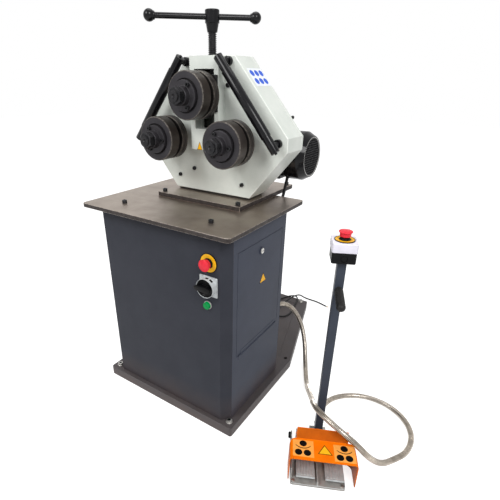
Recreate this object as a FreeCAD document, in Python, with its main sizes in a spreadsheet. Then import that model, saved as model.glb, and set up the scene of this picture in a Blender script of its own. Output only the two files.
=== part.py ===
import FreeCAD, Part
import math
import os
import re

# Three-roll ring roller on a sheet-metal cabinet, with a foot-pedal unit on a conduit hose.
# Frame: millimetres, +Z up, the front faces -Y, the origin is on the floor under the cabinet.

os.makedirs("parts", exist_ok=True)
doc = FreeCAD.newDocument("ring_roller")
V = FreeCAD.Vector
X_AXIS, Y_AXIS, Z_AXIS = V(1, 0, 0), V(0, 1, 0), V(0, 0, 1)

# ---------------------------------------------------------------- driving dimensions
DIMS = [
    # floor frame
    ("base_side", 26), ("base_lead", 14.5), ("base_kink", 258), ("base_back", 752), ("base_tail_w", 294),
    ("base_h", 37), ("base_wall", 6), ("base_deck", 6), ("base_step", 2), ("base_rail", 53),
    ("keel_w", 60), ("base_corner_r", 8), ("anchor_r", 7), ("anchor_side", 23.5), ("anchor_front", 26),
    ("anchor_tail_x", 119), ("anchor_tail_y", 733), ("bolt_shank_r", 5.8), ("bolt_head_r", 10),
    ("bolt_head_h", 7), ("washer_r", 12), ("washer_t", 2),
    # cabinet
    ("cab_w", 532), ("cab_d", 351), ("cab_chamfer", 27), ("cab_top", 710), ("sheet_t", 2),
    ("door_y0", -124), ("door_y1", 151), ("door_z0", 279), ("door_z1", 646), ("door_gap", 1.5),
    ("door_lip", 12), ("hinge_out", 1.8), ("hinge_pin_r", 0.9), ("hinge_barrel_r", 1.7),
    ("hinge_fit", 0.05), ("hinge_leaf_t", 1), ("hinge_leaf_h", 14), ("hinge_end", 12),
    ("lock_y", 13.5), ("lock_z", 609), ("lock_r", 9), ("lock_ring_r", 13), ("lock_ring_h", 3),
    ("lock_fit", 0.08), ("lock_out", 4.5), ("lock_in", 9), ("cam_l", 46), ("cam_w", 14), ("cam_t", 2),
    ("lock_slot_w", 2.5), ("lock_slot_d", 2),
    # controls on the front panel
    ("ctrl_in", 66), ("estop_z", 619), ("switch_z", 546), ("lamp_z", 480), ("panel_hole_r", 11.2),
    ("estop_disc_r", 30), ("box_disc_r", 27.5), ("estop_disc_t", 2), ("collar_r", 14), ("collar_h", 8),
    ("collar_neck_r", 11), ("collar_neck_l", 20), ("stem_r", 7), ("stem_l", 18), ("plunge_gap", 0.3),
    ("mush_skirt_r", 15), ("mush_skirt_h", 6), ("mush_r", 18.7), ("mush_h", 11), ("mush_lift", 5.5),
    ("switch_side", 63), ("switch_t", 5), ("switch_body", 46), ("switch_body_d", 40),
    ("dish_h", 19), ("dish_wall", 1.5), ("knob_r", 28.5), ("knob_gap", 0.5), ("knob_proud", 1.2),
    ("knob_lever_l", 38), ("knob_lever_w", 13), ("knob_lever_h", 9),
    ("lamp_in", 70.5), ("lamp_r", 14.3), ("lamp_h", 12), ("lamp_bezel_t", 3),
    # table and head plate
    ("table_w", 588), ("table_front", 212), ("table_back", 245), ("table_t", 13), ("table_corner_r", 14),
    ("table_bolt_x", 177), ("table_bolt_y", -131), ("cap_r", 8), ("cap_h", 10), ("cap_socket_r", 4),
    ("cap_socket_d", 5), ("head_x", 19), ("plate_w", 338), ("plate_front", 2), ("plate_back", 371),
    ("plate_t", 15), ("plate_bolt_in", 17), ("spacer_h", 6), ("spacer_in", 7),
    # head casting; half widths are measured from the head centre
    ("head_front", 85), ("head_d", 92), ("cover_t", 12), ("head_z0", 744), ("head_z1", 898),
    ("head_z2", 938), ("head_z3", 1156), ("head_bot", 152), ("head_mid", 278), ("head_top", 90),
    ("wall_front", 18), ("wall_side", 12), ("boss_half", 45), ("boss_z", 1122),
    ("slot_half", 37.5), ("slot_z0", 950), ("slot_z1", 1120), ("column_half", 54.5),
    ("column_t", 31), ("column_z0", 885), ("face_cap_r", 6.5), ("face_cap_h", 6),
    # rolls and shafts
    ("roll_r", 67), ("roll_dx", 125.6), ("low_z", 920.5), ("top_z", 1049), ("roll_y0", -37),
    ("disc_t", 37), ("groove_w", 15), ("groove_r", 42), ("rear_t1", 12.5), ("rear_t2", 15.5),
    ("rear_step_r", 63), ("bevel", 3), ("flange_r", 43), ("flange_recess", 4), ("flange_t", 12.5),
    ("recess_r", 46.5), ("hub_r", 26), ("hub_l", 32), ("nut_r", 25), ("nut_l", 20), ("shaft_r", 15),
    ("shaft_front", -88),
    ("shaft_back", 166), ("shaft_top_back", 140), ("centre_r", 6), ("centre_d", 6), ("collar_shaft_r", 24),
    ("shaft_fit", 0.05), ("screw_pitch_r", 36), ("disc_cap_r", 6), ("disc_cap_h", 7), ("roll_fit", 0.05),
    ("stack_gap", 1),
    # carriage, spindle and T-handle
    ("car_half", 37), ("car_z0", 1003), ("car_z1", 1105), ("car_back", 130), ("car_flange_half", 52),
    ("car_flange_t", 5.4), ("car_gap", 0.4), ("spindle_y", 100), ("spindle_r", 12.8),
    ("spindle_gap", 0.5), ("pivot_r", 8), ("pivot_fit", 0.05), ("pivot_l", 24), ("taper_z0", 1217),
    ("taper_z1", 1240), ("taper_r", 19), ("tee_hub_r", 21.2), ("tee_hub_top", 1275), ("tee_z", 1256.5),
    ("tee_angle", 43), ("tee_bar_r", 8), ("tee_gap", 0.3), ("tee_half", 155), ("tee_shift", -26),
    ("tee_ball_r", 16.6), ("hub_chamfer", 2),
    # slanted guard bars with loose sleeves
    ("bar_y", 40), ("bar_top_x", 62), ("bar_top_z", 1152), ("bar_low_x", 263), ("bar_low_z", 904),
    ("bar_left_out", 14.5), ("bar_r", 13.4), ("bar_end_r", 4), ("bar_end_l", 5), ("sleeve_r", 15.2),
    ("sleeve_fit", 0.08), ("sleeve_from", 47), ("sleeve_to", 267), ("post_top_at", 14), ("post_low_at", 295),
    ("post_r", 8), ("post_foot_r", 13), ("post_foot_h", 13),
    # eye bracket behind the head
    ("eye_x", 230), ("eye_y", 197), ("eye_z", 988), ("eye_r", 5.5), ("eye_len", 22), ("eye_rod_r", 3),
    # motor and gearbox
    ("motor_y", 282), ("motor_z", 862), ("cowl_end", 293), ("cowl_end_r", 65), ("cowl_r", 79),
    ("cowl_cone", 22), ("cowl_l", 50), ("cowl_wall", 3), ("motor_r", 68),
    ("motor_flange_r", 78), ("motor_flange_t", 14), ("bell_t", 5), ("bell_in", 1),
    ("grille_slot", 4), ("slat_count", 9), ("slat_in", 6), ("gear_w", 130), ("gear_h", 180),
    ("gear_z", 772), ("term_x", 157), ("term_l", 50), ("term_d", 40), ("term_h", 40), ("term_down", 74),
    # pedal unit, measured in its own turned frame
    ("ped_x", 521), ("ped_y", -222), ("ped_turn", 26), ("guard_w", 199), ("guard_h", 92),
    ("guard_d", 78), ("guard_t", 3), ("guard_bend_r", 12), ("guard_foot", 1), ("guard_corner_r", 22),
    ("guard_flange_in", 22), ("guard_flange_l", 37), ("guard_flange_lean", 28), ("guard_shelf_l", 58),
    ("guard_cheek_l", 44), ("guard_gap_left", 1.5), ("guard_gap_right", 3),
    ("ped_u0", 7.5), ("ped_w", 161), ("ped_v0", -17), ("ped_v1", 150), ("ped_t", 8), ("ped_rib_h", 12),
    ("ped_rib_t", 4), ("ped_box_v", 92), ("ped_box_h", 56), ("tongue_half", 27), ("tongue_v", 215),
    ("tread_w", 55), ("tread_lu", 24.5), ("tread_ru", 110.5), ("tread_front", -5), ("tread_t", 6),
    ("grip_bar_w", 5), ("grip_bar_h", 1.3), ("grip_bar_step", 9), ("grip_bar_in", 6),
    ("grip_bar_back", 18), ("cheek_t", 2.5), ("cheek_gap", 1), ("cheek_d", 10), ("floor_screw_r", 5),
    ("floor_screw_h", 3), ("floor_screw_in", 9), ("rib_mid_back", 6), ("rib_left_front", 20),
    ("rib_right_front", 6), ("case_in", 16),
    ("tread_pivot_v", 82), ("tread_pivot_z", 18), ("tread_rest", 4), ("tread_eye_r", 5.5),
    ("tread_pin_r", 3), ("tread_fit", 0.05), ("ped_post_u", 100), ("ped_post_v", 190),
    ("ped_post_s", 25), ("ped_post_t", 2), ("box_s", 68), ("box_z0", 652), ("box_seam", 683),
    ("box_z1", 710), ("box_r", 6), ("grip_z", 566), ("grip_tilt", 9.3), ("grip_r", 12.5), ("grip_l", 77.5),
    ("grip_neck_r", 8.5), ("grip_neck_l", 6), ("box_taper", 0.95), ("knockout_r", 9), ("knockout_h", 1.5),
    ("gland_r", 11), ("gland_l", 16), ("gland_z", 35), ("gland_rim", 2), ("plug_in", 12),
    # cords
    ("hose_r", 9.5), ("motor_cable_r", 5.5), ("mains_r", 3.5),
]
sheet = doc.addObject("Spreadsheet::Sheet", "dims")
for row, (alias, value) in enumerate(DIMS, start=1):
    sheet.set("A%d" % row, alias)
    sheet.set("B%d" % row, str(value))
    sheet.setAlias("B%d" % row, alias)
doc.recompute()
D = {alias: float(sheet.get(alias)) for alias, value in DIMS}
NODES = {}


def bound(text):
    """Turn dimension names in a formula into references to the sheet."""
    return re.sub(r"[a-z]\w*", lambda m: "dims." + m.group(0), text)


def bind(obj, prop, formula):
    obj.setExpression(prop, bound(formula))


def node(obj, label):
    """Keep obj as a sub-part of its own under the given name."""
    obj.Label = label
    NODES[label] = obj
    return obj


def place(obj, base, frame=None, rotation=None):
    """Give obj a position by formulas, or inside a turned frame by numbers."""
    if frame is not None:
        local = FreeCAD.Placement(V(*base), rotation or FreeCAD.Rotation())
        obj.Placement = frame.multiply(local)
        return obj
    for axis, formula in zip("xyz", base):
        bind(obj, "Placement.Base." + axis, formula)
    return obj


def box(base, size, frame=None, rotation=None):
    obj = doc.addObject("Part::Box", "box")
    for prop, formula in zip(("Length", "Width", "Height"), size):
        bind(obj, prop, formula)
    return place(obj, base, frame, rotation)


def aim(direction):
    return FreeCAD.Rotation(Z_AXIS, V(*direction))


def rod(base, direction, radius, length, frame=None):
    """Cylinder from base along direction; radius and length are formulas."""
    obj = doc.addObject("Part::Cylinder", "rod")
    bind(obj, "Radius", radius)
    bind(obj, "Height", length)
    local = FreeCAD.Placement(V(*base), aim(direction))
    obj.Placement = frame.multiply(local) if frame is not None else local
    return obj


def cone(base, direction, radius1, radius2, length):
    obj = doc.addObject("Part::Cone", "cone")
    bind(obj, "Radius1", radius1)
    bind(obj, "Radius2", radius2)
    bind(obj, "Height", length)
    obj.Placement = FreeCAD.Placement(V(*base), aim(direction))
    return obj


def hexagon(base, direction, radius, length):
    obj = doc.addObject("Part::Prism", "hexagon")
    obj.Polygon = 6
    bind(obj, "Circumradius", radius)
    bind(obj, "Height", length)
    obj.Placement = FreeCAD.Placement(V(*base), aim(direction))
    return obj


def ball(centre, radius):
    obj = doc.addObject("Part::Sphere", "ball")
    bind(obj, "Radius", radius)
    obj.Placement.Base = V(*centre)
    return obj


def fuse(*shapes):
    obj = doc.addObject("Part::MultiFuse", "fuse")
    obj.Shapes = list(shapes)
    return obj


def cut(base, *tools):
    obj = doc.addObject("Part::Cut", "cut")
    obj.Base = base
    obj.Tool = tools[0] if len(tools) == 1 else fuse(*tools)
    return obj


def common(*shapes):
    obj = doc.addObject("Part::MultiCommon", "common")
    obj.Shapes = list(shapes)
    return obj


def group(*shapes):
    obj = doc.addObject("Part::Compound", "group")
    obj.Links = list(shapes)
    return obj


def edges_of(points, radii):
    """Closed outline through points, each corner rounded by its radius (0 keeps it sharp)."""
    count = len(points)
    starts, ends, arcs = [], [], []
    for i in range(count):
        corner = V(points[i][0], points[i][1], 0)
        back = V(points[i - 1][0], points[i - 1][1], 0) - corner
        ahead = V(points[(i + 1) % count][0], points[(i + 1) % count][1], 0) - corner
        back.normalize()
        ahead.normalize()
        r = radii[i] if isinstance(radii, (list, tuple)) else radii
        if r <= 0:
            starts.append(corner)
            ends.append(corner)
            arcs.append(None)
            continue
        half = back.getAngle(ahead) / 2
        reach = r / math.tan(half)
        middle = (back + ahead).normalize() * (r / math.sin(half) - r)
        starts.append(corner + back * reach)
        ends.append(corner + ahead * reach)
        arcs.append(Part.Arc(corner + back * reach, corner + middle, corner + ahead * reach))
    geometry = []
    for i in range(count):
        if arcs[i] is not None:
            geometry.append(arcs[i])
        geometry.append(Part.LineSegment(ends[i], starts[(i + 1) % count]))
    return geometry


class Solid:
    """A PartDesign body built from sketches on its own origin planes."""

    def __init__(self, name):
        self.body = doc.addObject("PartDesign::Body", name)

    def sketch(self, plane, offset, geometry):
        sk = self.body.newObject("Sketcher::SketchObject", "sketch")
        role = plane + "_Plane"
        support = [f for f in self.body.Origin.OriginFeatures if f.Role == role][0]
        sk.AttachmentSupport = (support, [""])
        sk.MapMode = "FlatFace"
        sk.AttachmentOffset = FreeCAD.Placement(V(0, 0, offset), FreeCAD.Rotation())
        sk.addGeometry(geometry, False)
        return sk

    def pad(self, plane, offset, geometry, length, flip=False):
        sk = self.sketch(plane, offset, geometry)
        feature = self.body.newObject("PartDesign::Pad", "pad")
        feature.Profile = sk
        bind(feature, "Length", length)
        feature.Reversed = flip
        return feature

    def pocket(self, plane, offset, geometry, length, flip=False):
        sk = self.sketch(plane, offset, geometry)
        feature = self.body.newObject("PartDesign::Pocket", "pocket")
        feature.Profile = sk
        bind(feature, "Length", length)
        feature.Reversed = flip
        return feature

    def turn(self, plane, outline, groove=False):
        """Full revolution of an outline about the sketch's own vertical axis."""
        kind = "PartDesign::Groove" if groove else "PartDesign::Revolution"
        sk = self.sketch(plane, 0, edges_of(outline, 0))
        feature = self.body.newObject(kind, "turned")
        feature.Profile = sk
        feature.ReferenceAxis = (sk, ["V_Axis"])
        feature.Angle = 360
        return feature


def circle(x, y, r):
    return Part.Circle(V(x, y, 0), Z_AXIS, r)


def frame_points(half_w, front, kink, back, half_tail):
    return [(-half_w, -front), (half_w, -front), (half_w, kink), (half_tail, back),
            (-half_tail, back), (-half_w, kink)]


# ---------------------------------------------------------------- floor frame
w2 = D["cab_w"] / 2 + D["base_side"]
base_front = D["cab_d"] / 2 + D["base_lead"]
tail2, wall = D["base_tail_w"] / 2, D["base_wall"]
frame = Solid("base_frame")
outline = frame_points(w2, base_front, D["base_kink"], D["base_back"], tail2)
frame.pad("XY", 0, edges_of(outline, D["base_corner_r"]), "base_h")
hollow = frame_points(w2 - wall, base_front - wall, D["base_kink"] - wall / 3,
                      D["base_back"] - wall, tail2 - wall)
frame.pocket("XY", 0, edges_of(hollow, D["base_corner_r"] / 2), "base_h - base_deck", True)
slope = (w2 - tail2) / (D["base_back"] - D["base_kink"])
rail = D["base_rail"]
deck_y0, deck_y1 = D["base_kink"] - rail, D["base_back"] - rail
deck = [(-(w2 - rail), deck_y0), (w2 - rail, deck_y0), (w2 - rail, D["base_kink"]),
        (w2 - rail - slope * (deck_y1 - D["base_kink"]), deck_y1),
        (-(w2 - rail - slope * (deck_y1 - D["base_kink"])), deck_y1), (-(w2 - rail), D["base_kink"])]
frame.pocket("XY", D["base_h"], edges_of(deck, 0), "base_step")
side_x = w2 - D["anchor_side"]
front_y = -base_front + D["anchor_front"]
corner_holes = [(-side_x, front_y), (side_x, front_y),
                (-D["anchor_tail_x"], D["anchor_tail_y"]), (D["anchor_tail_x"], D["anchor_tail_y"])]
kink_holes = [(-side_x, D["base_kink"]), (side_x, D["base_kink"])]
holes = [circle(x, y, D["anchor_r"]) for x, y in corner_holes + kink_holes]
frame.pocket("XY", D["base_h"], holes, "base_h")
keel = box(("-keel_w/2", "-cab_d/2 - base_lead + base_wall/2", "0"),
           ("keel_w", "cab_d/2 + base_lead + base_back - base_wall", "base_h - base_deck/2"))
node(fuse(frame.body, keel), "base_frame")

bolts = []
for x, y in corner_holes:
    seat = D["base_h"]
    bolts.append(fuse(rod((x, y, D["base_wall"]), (0, 0, 1), "bolt_shank_r", "base_h - base_wall"),
                      rod((x, y, seat), (0, 0, 1), "washer_r", "washer_t"),
                      hexagon((x, y, seat + D["washer_t"]), (0, 0, 1), "bolt_head_r", "bolt_head_h")))
node(group(*bolts), "anchor_bolts")

# ---------------------------------------------------------------- cabinet
cw, cd, ch, t = D["cab_w"] / 2, D["cab_d"] / 2, D["cab_chamfer"], D["sheet_t"]
ctrl_x = cw - D["ctrl_in"]
lamp_x = cw - D["lamp_in"]
nip = t * math.tan(math.radians(22.5))
lap = -cd + ch + t
fold = [(-cw, lap), (-cw, -cd + ch), (-cw + ch, -cd), (cw - ch, -cd), (cw, -cd + ch), (cw, lap),
        (cw - t, lap), (cw - t, -cd + ch + nip), (cw - ch - nip, -cd + t),
        (-cw + ch + nip, -cd + t), (-cw + t, -cd + ch + nip), (-cw + t, lap)]
front = Solid("cabinet_front")
front.pad("XY", D["base_h"], edges_of(fold, 0), "cab_top - base_h")
for x, z in ((ctrl_x, D["estop_z"]), (ctrl_x, D["switch_z"]), (lamp_x, D["lamp_z"])):
    front.pocket("XZ", cd - t, [circle(x, z, D["panel_hole_r"])], "sheet_t", True)
node(front.body, "cabinet_front")

side_y, side_l = "-cab_d/2 + cab_chamfer + sheet_t", "cab_d - cab_chamfer - 2*sheet_t"
tall = "cab_top - base_h"
node(box(("-cab_w/2", side_y, "base_h"), ("sheet_t", side_l, tall)), "cabinet_left")
node(box(("-cab_w/2", "cab_d/2 - sheet_t", "base_h"), ("cab_w", "sheet_t", tall)), "cabinet_back")
node(cut(box(("cab_w/2 - sheet_t", side_y, "base_h"), ("sheet_t", side_l, tall)),
         box(("cab_w/2 - 2*sheet_t", "door_y0", "door_z0"),
             ("3*sheet_t", "door_y1 - door_y0", "door_z1 - door_z0"))), "cabinet_right")

# Side door: folded panel on a strip hinge along its lower edge.
door_w = "door_y1 - door_y0 - 2*door_gap"
door_h = "door_z1 - door_z0 - 2*door_gap"
hinge_x = cw + D["hinge_out"]
hinge_z = D["door_z0"] + D["door_gap"] / 2
inner_y0 = D["door_y0"] + 2 * D["hinge_end"]
barrel_l = "door_y1 - door_y0 - 4*hinge_end"
panel = box(("cab_w/2 - sheet_t", "door_y0 + door_gap", "door_z0 + door_gap"),
            ("sheet_t", door_w, door_h))
lip_a = box(("cab_w/2 - door_lip", "door_y0 + door_gap", "door_z0 + door_gap"),
            ("door_lip", "sheet_t", door_h))
lip_b = box(("cab_w/2 - door_lip", "door_y1 - door_gap - sheet_t", "door_z0 + door_gap"),
            ("door_lip", "sheet_t", door_h))
leaf = box(("cab_w/2", "door_y0 + 2*hinge_end", "door_z0 + door_gap"),
           ("hinge_leaf_t", barrel_l, "hinge_leaf_h"))
barrel = rod((hinge_x, inner_y0, hinge_z), (0, 1, 0), "hinge_barrel_r", barrel_l)
ring = rod((cw - D["lock_in"] / 3, D["lock_y"], D["lock_z"]), (1, 0, 0),
           "lock_ring_r", "lock_ring_h + lock_in/3")
node(cut(fuse(panel, lip_a, lip_b, leaf, barrel, ring),
         rod((hinge_x, inner_y0 - 1, hinge_z), (0, 1, 0), "hinge_pin_r + hinge_fit", barrel_l + " + 2"),
         rod((cw - D["lock_in"], D["lock_y"], D["lock_z"]), (1, 0, 0),
             "lock_r + lock_fit", "2*lock_in + lock_ring_h")), "door_panel")

pin = rod((hinge_x, D["door_y0"] + D["hinge_end"], hinge_z), (0, 1, 0), "hinge_pin_r",
          "door_y1 - door_y0 - 2*hinge_end")
knuckles = []
for y in (D["door_y0"] + D["hinge_end"], D["door_y1"] - 2 * D["hinge_end"] + D["door_gap"] / 3):
    knuckles.append(rod((hinge_x, y, hinge_z), (0, 1, 0), "hinge_barrel_r", "hinge_end - door_gap/3"))
    knuckles.append(box(("cab_w/2", str(y), "door_z0 - hinge_leaf_h"),
                        ("hinge_leaf_t", "hinge_end - door_gap/3", "hinge_leaf_h + door_gap/2")))
strip = box(("cab_w/2", "door_y0 + hinge_end", "door_z0 - hinge_leaf_h"),
            ("hinge_leaf_t", "door_y1 - door_y0 - 2*hinge_end", "hinge_leaf_h - 3*door_gap"))
node(fuse(pin, strip, *knuckles), "door_hinge")

core = rod((cw - D["lock_in"], D["lock_y"], D["lock_z"]), (1, 0, 0), "lock_r", "lock_in + lock_out")
cam = box(("cab_w/2 - lock_in", "lock_y", "lock_z - cam_w/2"), ("cam_t", "cam_l", "cam_w"))
slot = box(("cab_w/2 + lock_out - lock_slot_d", "lock_y - lock_r", "lock_z - lock_slot_w/2"),
           ("2*lock_slot_d", "2*lock_r", "lock_slot_w"))
node(cut(fuse(core, cam), slot), "door_lock")


# ---------------------------------------------------------------- emergency stops and controls
def estop_ring(origin, axis, drop, disc_r):
    """Amber disc with a black collar and a threaded neck behind it."""
    disc = rod(origin, axis, disc_r, "estop_disc_t")
    collar = rod(origin, axis, "collar_r", "collar_h")
    back = tuple(o - a * D["collar_neck_l"] for o, a in zip(origin, axis))
    neck = rod(back, axis, "collar_neck_r", "collar_neck_l")
    start = tuple(o - a * (D["stem_l"] + drop) for o, a in zip(origin, axis))
    bore = rod(start, axis, "stem_r + plunge_gap", "stem_l + collar_h + 2*mush_lift")
    return cut(fuse(disc, collar, neck), bore)


def estop_button(origin, axis):
    """Mushroom head on a stem that slides in the collar."""
    def along(d):
        return tuple(o + a * d for o, a in zip(origin, axis))
    lift = D["collar_h"] + D["mush_lift"]
    stem = rod(along(lift - D["stem_l"]), axis, "stem_r", "stem_l + mush_skirt_h/2")
    skirt = rod(along(lift), axis, "mush_skirt_r", "mush_skirt_h")
    cap = cone(along(lift + D["mush_skirt_h"] - 1), axis, "mush_skirt_r", "mush_r", "mush_h/3")
    rim = rod(along(lift + D["mush_skirt_h"] - 1 + D["mush_h"] / 3), axis, "mush_r", "mush_h/3")
    dome = cone(along(lift + D["mush_skirt_h"] - 1 + 2 * D["mush_h"] / 3), axis,
                "mush_r", "mush_r - mush_h/4", "mush_h/4")
    return fuse(stem, skirt, cap, rim, dome)


cab_stop = (ctrl_x, -cd, D["estop_z"])
node(estop_ring(cab_stop, (0, -1, 0), D["mush_lift"], "estop_disc_r"), "estop_ring_cabinet")
node(estop_button(cab_stop, (0, -1, 0)), "estop_button_cabinet")

switch_box = box(("cab_w/2 - ctrl_in - switch_side/2", "-cab_d/2 - switch_t", "switch_z - switch_side/2"),
                 ("switch_side", "switch_t", "switch_side"))
switch_neck = rod((ctrl_x, -cd, D["switch_z"]), (0, 1, 0), "collar_neck_r", "switch_body_d/2")
switch_back = box(("cab_w/2 - ctrl_in - switch_body/2", "-cab_d/2 + sheet_t + knob_gap",
                   "switch_z - switch_body/2"), ("switch_body", "switch_body_d", "switch_body"))
dish = rod((ctrl_x, -cd, D["switch_z"]), (0, -1, 0), "knob_r + knob_gap + dish_wall", "switch_t + dish_h")
dish_bore = rod((ctrl_x, -cd - D["switch_t"], D["switch_z"]), (0, -1, 0), "knob_r + knob_gap", "2*dish_h")
node(cut(fuse(switch_box, dish, switch_neck, switch_back), dish_bore), "switch_plate")
knob_y = -cd - D["switch_t"] - D["knob_gap"]
knob = rod((ctrl_x, knob_y, D["switch_z"]), (0, -1, 0), "knob_r", "dish_h - knob_gap + knob_proud")
lever = box(("cab_w/2 - ctrl_in - knob_lever_l",
             "-cab_d/2 - switch_t - dish_h - knob_proud/2 - knob_lever_h", "switch_z - knob_lever_w/2"),
            ("knob_lever_l + 0.9*knob_r", "knob_lever_h", "knob_lever_w"))
node(fuse(knob, lever), "switch_knob")
lamp_at = (lamp_x, -cd, D["lamp_z"])
bezel = rod(lamp_at, (0, -1, 0), "lamp_r", "lamp_bezel_t")
lens = rod(lamp_at, (0, -1, 0), "lamp_r - 1", "lamp_h")
tail = rod(lamp_at, (0, 1, 0), "collar_neck_r", "switch_body_d")
node(fuse(bezel, lens, tail), "power_lamp")

# ---------------------------------------------------------------- table and head plate
table = Solid("table_top")
half_w = D["table_w"] / 2
corners = [(-half_w, -D["table_front"]), (half_w, -D["table_front"]),
           (half_w, D["table_back"]), (-half_w, D["table_back"])]
table.pad("XY", D["cab_top"], edges_of(corners, D["table_corner_r"]), "table_t")
node(table.body, "table_top")

hx = D["head_x"]
table_z = D["cab_top"] + D["table_t"]
plate_z = table_z + D["plate_t"]
node(box(("head_x - plate_w/2", "plate_front", "cab_top + table_t"),
         ("plate_w", "plate_back - plate_front", "plate_t")), "head_plate")


def cap_screw(at, axis, radius, height):
    """Socket-head screw standing on its seat."""
    head = rod(at, axis, radius, height)
    top = tuple(a + d * D["cap_h"] for a, d in zip(at, axis))
    socket = rod(tuple(a - d * D["cap_socket_d"] for a, d in zip(top, axis)), axis,
                 "cap_socket_r", "2*cap_socket_d")
    return cut(head, socket)


screws = [cap_screw((sx * D["table_bolt_x"], D["table_bolt_y"], table_z), (0, 0, 1), "cap_r", "cap_h")
          for sx in (-1, 1)]
for sx in (-1, 1):
    for y in (D["plate_front"] + D["plate_bolt_in"], D["plate_back"] - D["plate_bolt_in"]):
        x = hx + sx * (D["plate_w"] / 2 - D["plate_bolt_in"])
        screws.append(cap_screw((x, y, plate_z), (0, 0, 1), "cap_r", "cap_h"))
node(group(*screws), "plate_screws")
node(box(("head_x - head_bot + spacer_in", "head_front + spacer_in", "head_z0 - spacer_h"),
         ("2*head_bot - 2*spacer_in", "head_d + cover_t - 2*spacer_in", "spacer_h")), "head_spacer")

# ---------------------------------------------------------------- head casting
hb, hm, ht = D["head_bot"], D["head_mid"], D["head_top"]
z0, z1, z2, z3 = D["head_z0"], D["head_z1"], D["head_z2"], D["head_z3"]
outer = [(hx - hb, z0), (hx + hb, z0), (hx + hm, z1), (hx + hm, z2), (hx + ht, z3),
         (hx - ht, z3), (hx - hm, z2), (hx - hm, z1)]
wall = D["wall_side"]
bh, bz = D["boss_half"], D["boss_z"]
inner = [(hx - hb + wall / 2, z0 + wall), (hx + hb - wall / 2, z0 + wall),
         (hx + hm - wall, z1 + wall / 3), (hx + hm - wall, z2 - wall / 3),
         (hx + ht - wall / 2, z3 - wall), (hx + bh, z3 - wall), (hx + bh, bz), (hx - bh, bz),
         (hx - bh, z3 - wall), (hx - ht + wall / 2, z3 - wall),
         (hx - hm + wall, z2 - wall / 3), (hx - hm + wall, z1 + wall / 3)]
front_y = D["head_front"]
head = Solid("head_casting")
head.pad("XZ", -front_y, edges_of(outer, 3), "head_d", True)
head.pocket("XZ", -front_y - D["wall_front"], edges_of(inner, 0), "head_d - wall_front")
slot_pts = [(hx - D["slot_half"], D["slot_z0"]), (hx + D["slot_half"], D["slot_z0"]),
            (hx + D["slot_half"], D["slot_z1"]), (hx - D["slot_half"], D["slot_z1"])]
head.pocket("XZ", -front_y, edges_of(slot_pts, 0), "wall_front")
bores = [circle(hx + sx * D["roll_dx"], D["low_z"], D["shaft_r"] + D["shaft_fit"]) for sx in (-1, 1)]
head.pocket("XZ", -front_y, bores, "wall_front")
bore = [circle(hx, D["spindle_y"], D["spindle_r"] + D["spindle_gap"])]
head.pocket("XY", z3, bore, "head_z3 - slot_z1 + 1")
node(head.body, "head_casting")

cover = Solid("head_cover")
cover.pad("XZ", -front_y - D["head_d"], edges_of(outer, 3), "cover_t", True)
node(cover.body, "head_cover")

column = box(("head_x - column_half", "head_front - column_t", "column_z0"),
             ("2*column_half", "column_t", "head_z3 - column_z0"))
window = box(("head_x - slot_half", "head_front - 2*column_t", "slot_z0"),
             ("2*slot_half", "3*column_t", "slot_z1 - slot_z0"))
node(cut(column, window), "guide_column")
FACE_SCREWS = [(-133, 789), (-69, 817), (124, 785), (68, 1077), (-68, 1077)]
node(group(*[cap_screw((hx + dx, front_y, z), (0, -1, 0), "face_cap_r", "face_cap_h")
             for dx, z in FACE_SCREWS]), "face_screws")


# ---------------------------------------------------------------- rolls
def turned_roll(name, x, z, first_angle):
    """Grooved roll: two thick discs on a spacer, a bolted flange and three cap screws."""
    r, y0 = D["roll_r"], D["roll_y0"]
    bore = D["shaft_r"] + D["roll_fit"]
    y1 = y0 + D["disc_t"]
    y2 = y1 + D["groove_w"]
    y3 = y2 + D["rear_t1"]
    y4 = y3 + D["rear_t2"]
    b, fr, pr, rec = D["bevel"], D["flange_r"], D["recess_r"], D["flange_recess"]
    f0 = y0 + rec
    ft, hr, hl, gr = D["flange_t"], D["hub_r"], D["hub_l"], D["groove_r"]
    front_disc = [(bore, f0), (pr, f0), (pr, y0), (r - b, y0), (r, y0 + b), (r, y1 - b / 3),
                  (r - b / 3, y1), (bore, y1)]
    spacer = [(bore, y1), (gr, y1), (gr, y2), (bore, y2)]
    rear_disc = [(bore, y2), (r - b, y2), (r, y2 + b), (r, y3 - b / 2), (D["rear_step_r"], y3),
                 (r, y3 + b / 2), (r, y4 - b), (r - b, y4), (bore, y4)]
    flange = [(bore, f0), (fr, f0), (fr, f0 - ft + 2), (fr - 2, f0 - ft), (hr + 2, f0 - ft),
              (hr, f0 - ft - 2), (hr, f0 - hl + 1), (hr - 1, f0 - hl), (bore, f0 - hl)]
    rings = []
    for part_name, outline in (("_front", front_disc), ("_spacer", spacer), ("_rear", rear_disc),
                               ("_flange", flange)):
        ring = Solid(name + part_name)
        ring.turn("XY", outline)
        ring.body.Placement.Base = V(x, 0, z)
        rings.append(ring.body)
    caps = []
    for k in range(3):
        a = math.radians(first_angle + 120 * k)
        p = (x + D["screw_pitch_r"] * math.cos(a), f0 - ft, z + D["screw_pitch_r"] * math.sin(a))
        caps.append(cap_screw(p, (0, -1, 0), "disc_cap_r", "disc_cap_h"))
    return node(group(*(rings + caps)), name)


def roll_shaft(name, x, z, back_y, collar_end):
    """Shaft with a collar behind the roll, a hexagon nut seat and a centre hole in its end."""
    length = str(D["shaft_front"] * -1) + " + " + back_y
    shaft = rod((x, D["shaft_front"], z), (0, 1, 0), "shaft_r", length)
    y4 = D["roll_y0"] + D["disc_t"] + D["groove_w"] + D["rear_t1"] + D["rear_t2"]
    collar = rod((x, y4, z), (0, 1, 0), "collar_shaft_r", "%s - stack_gap" % (collar_end - y4))
    centre = cone((x, D["shaft_front"] - 0.01, z), (0, 1, 0), "centre_r", "centre_r/3", "centre_d")
    return node(cut(fuse(shaft, collar), centre), name)


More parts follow.
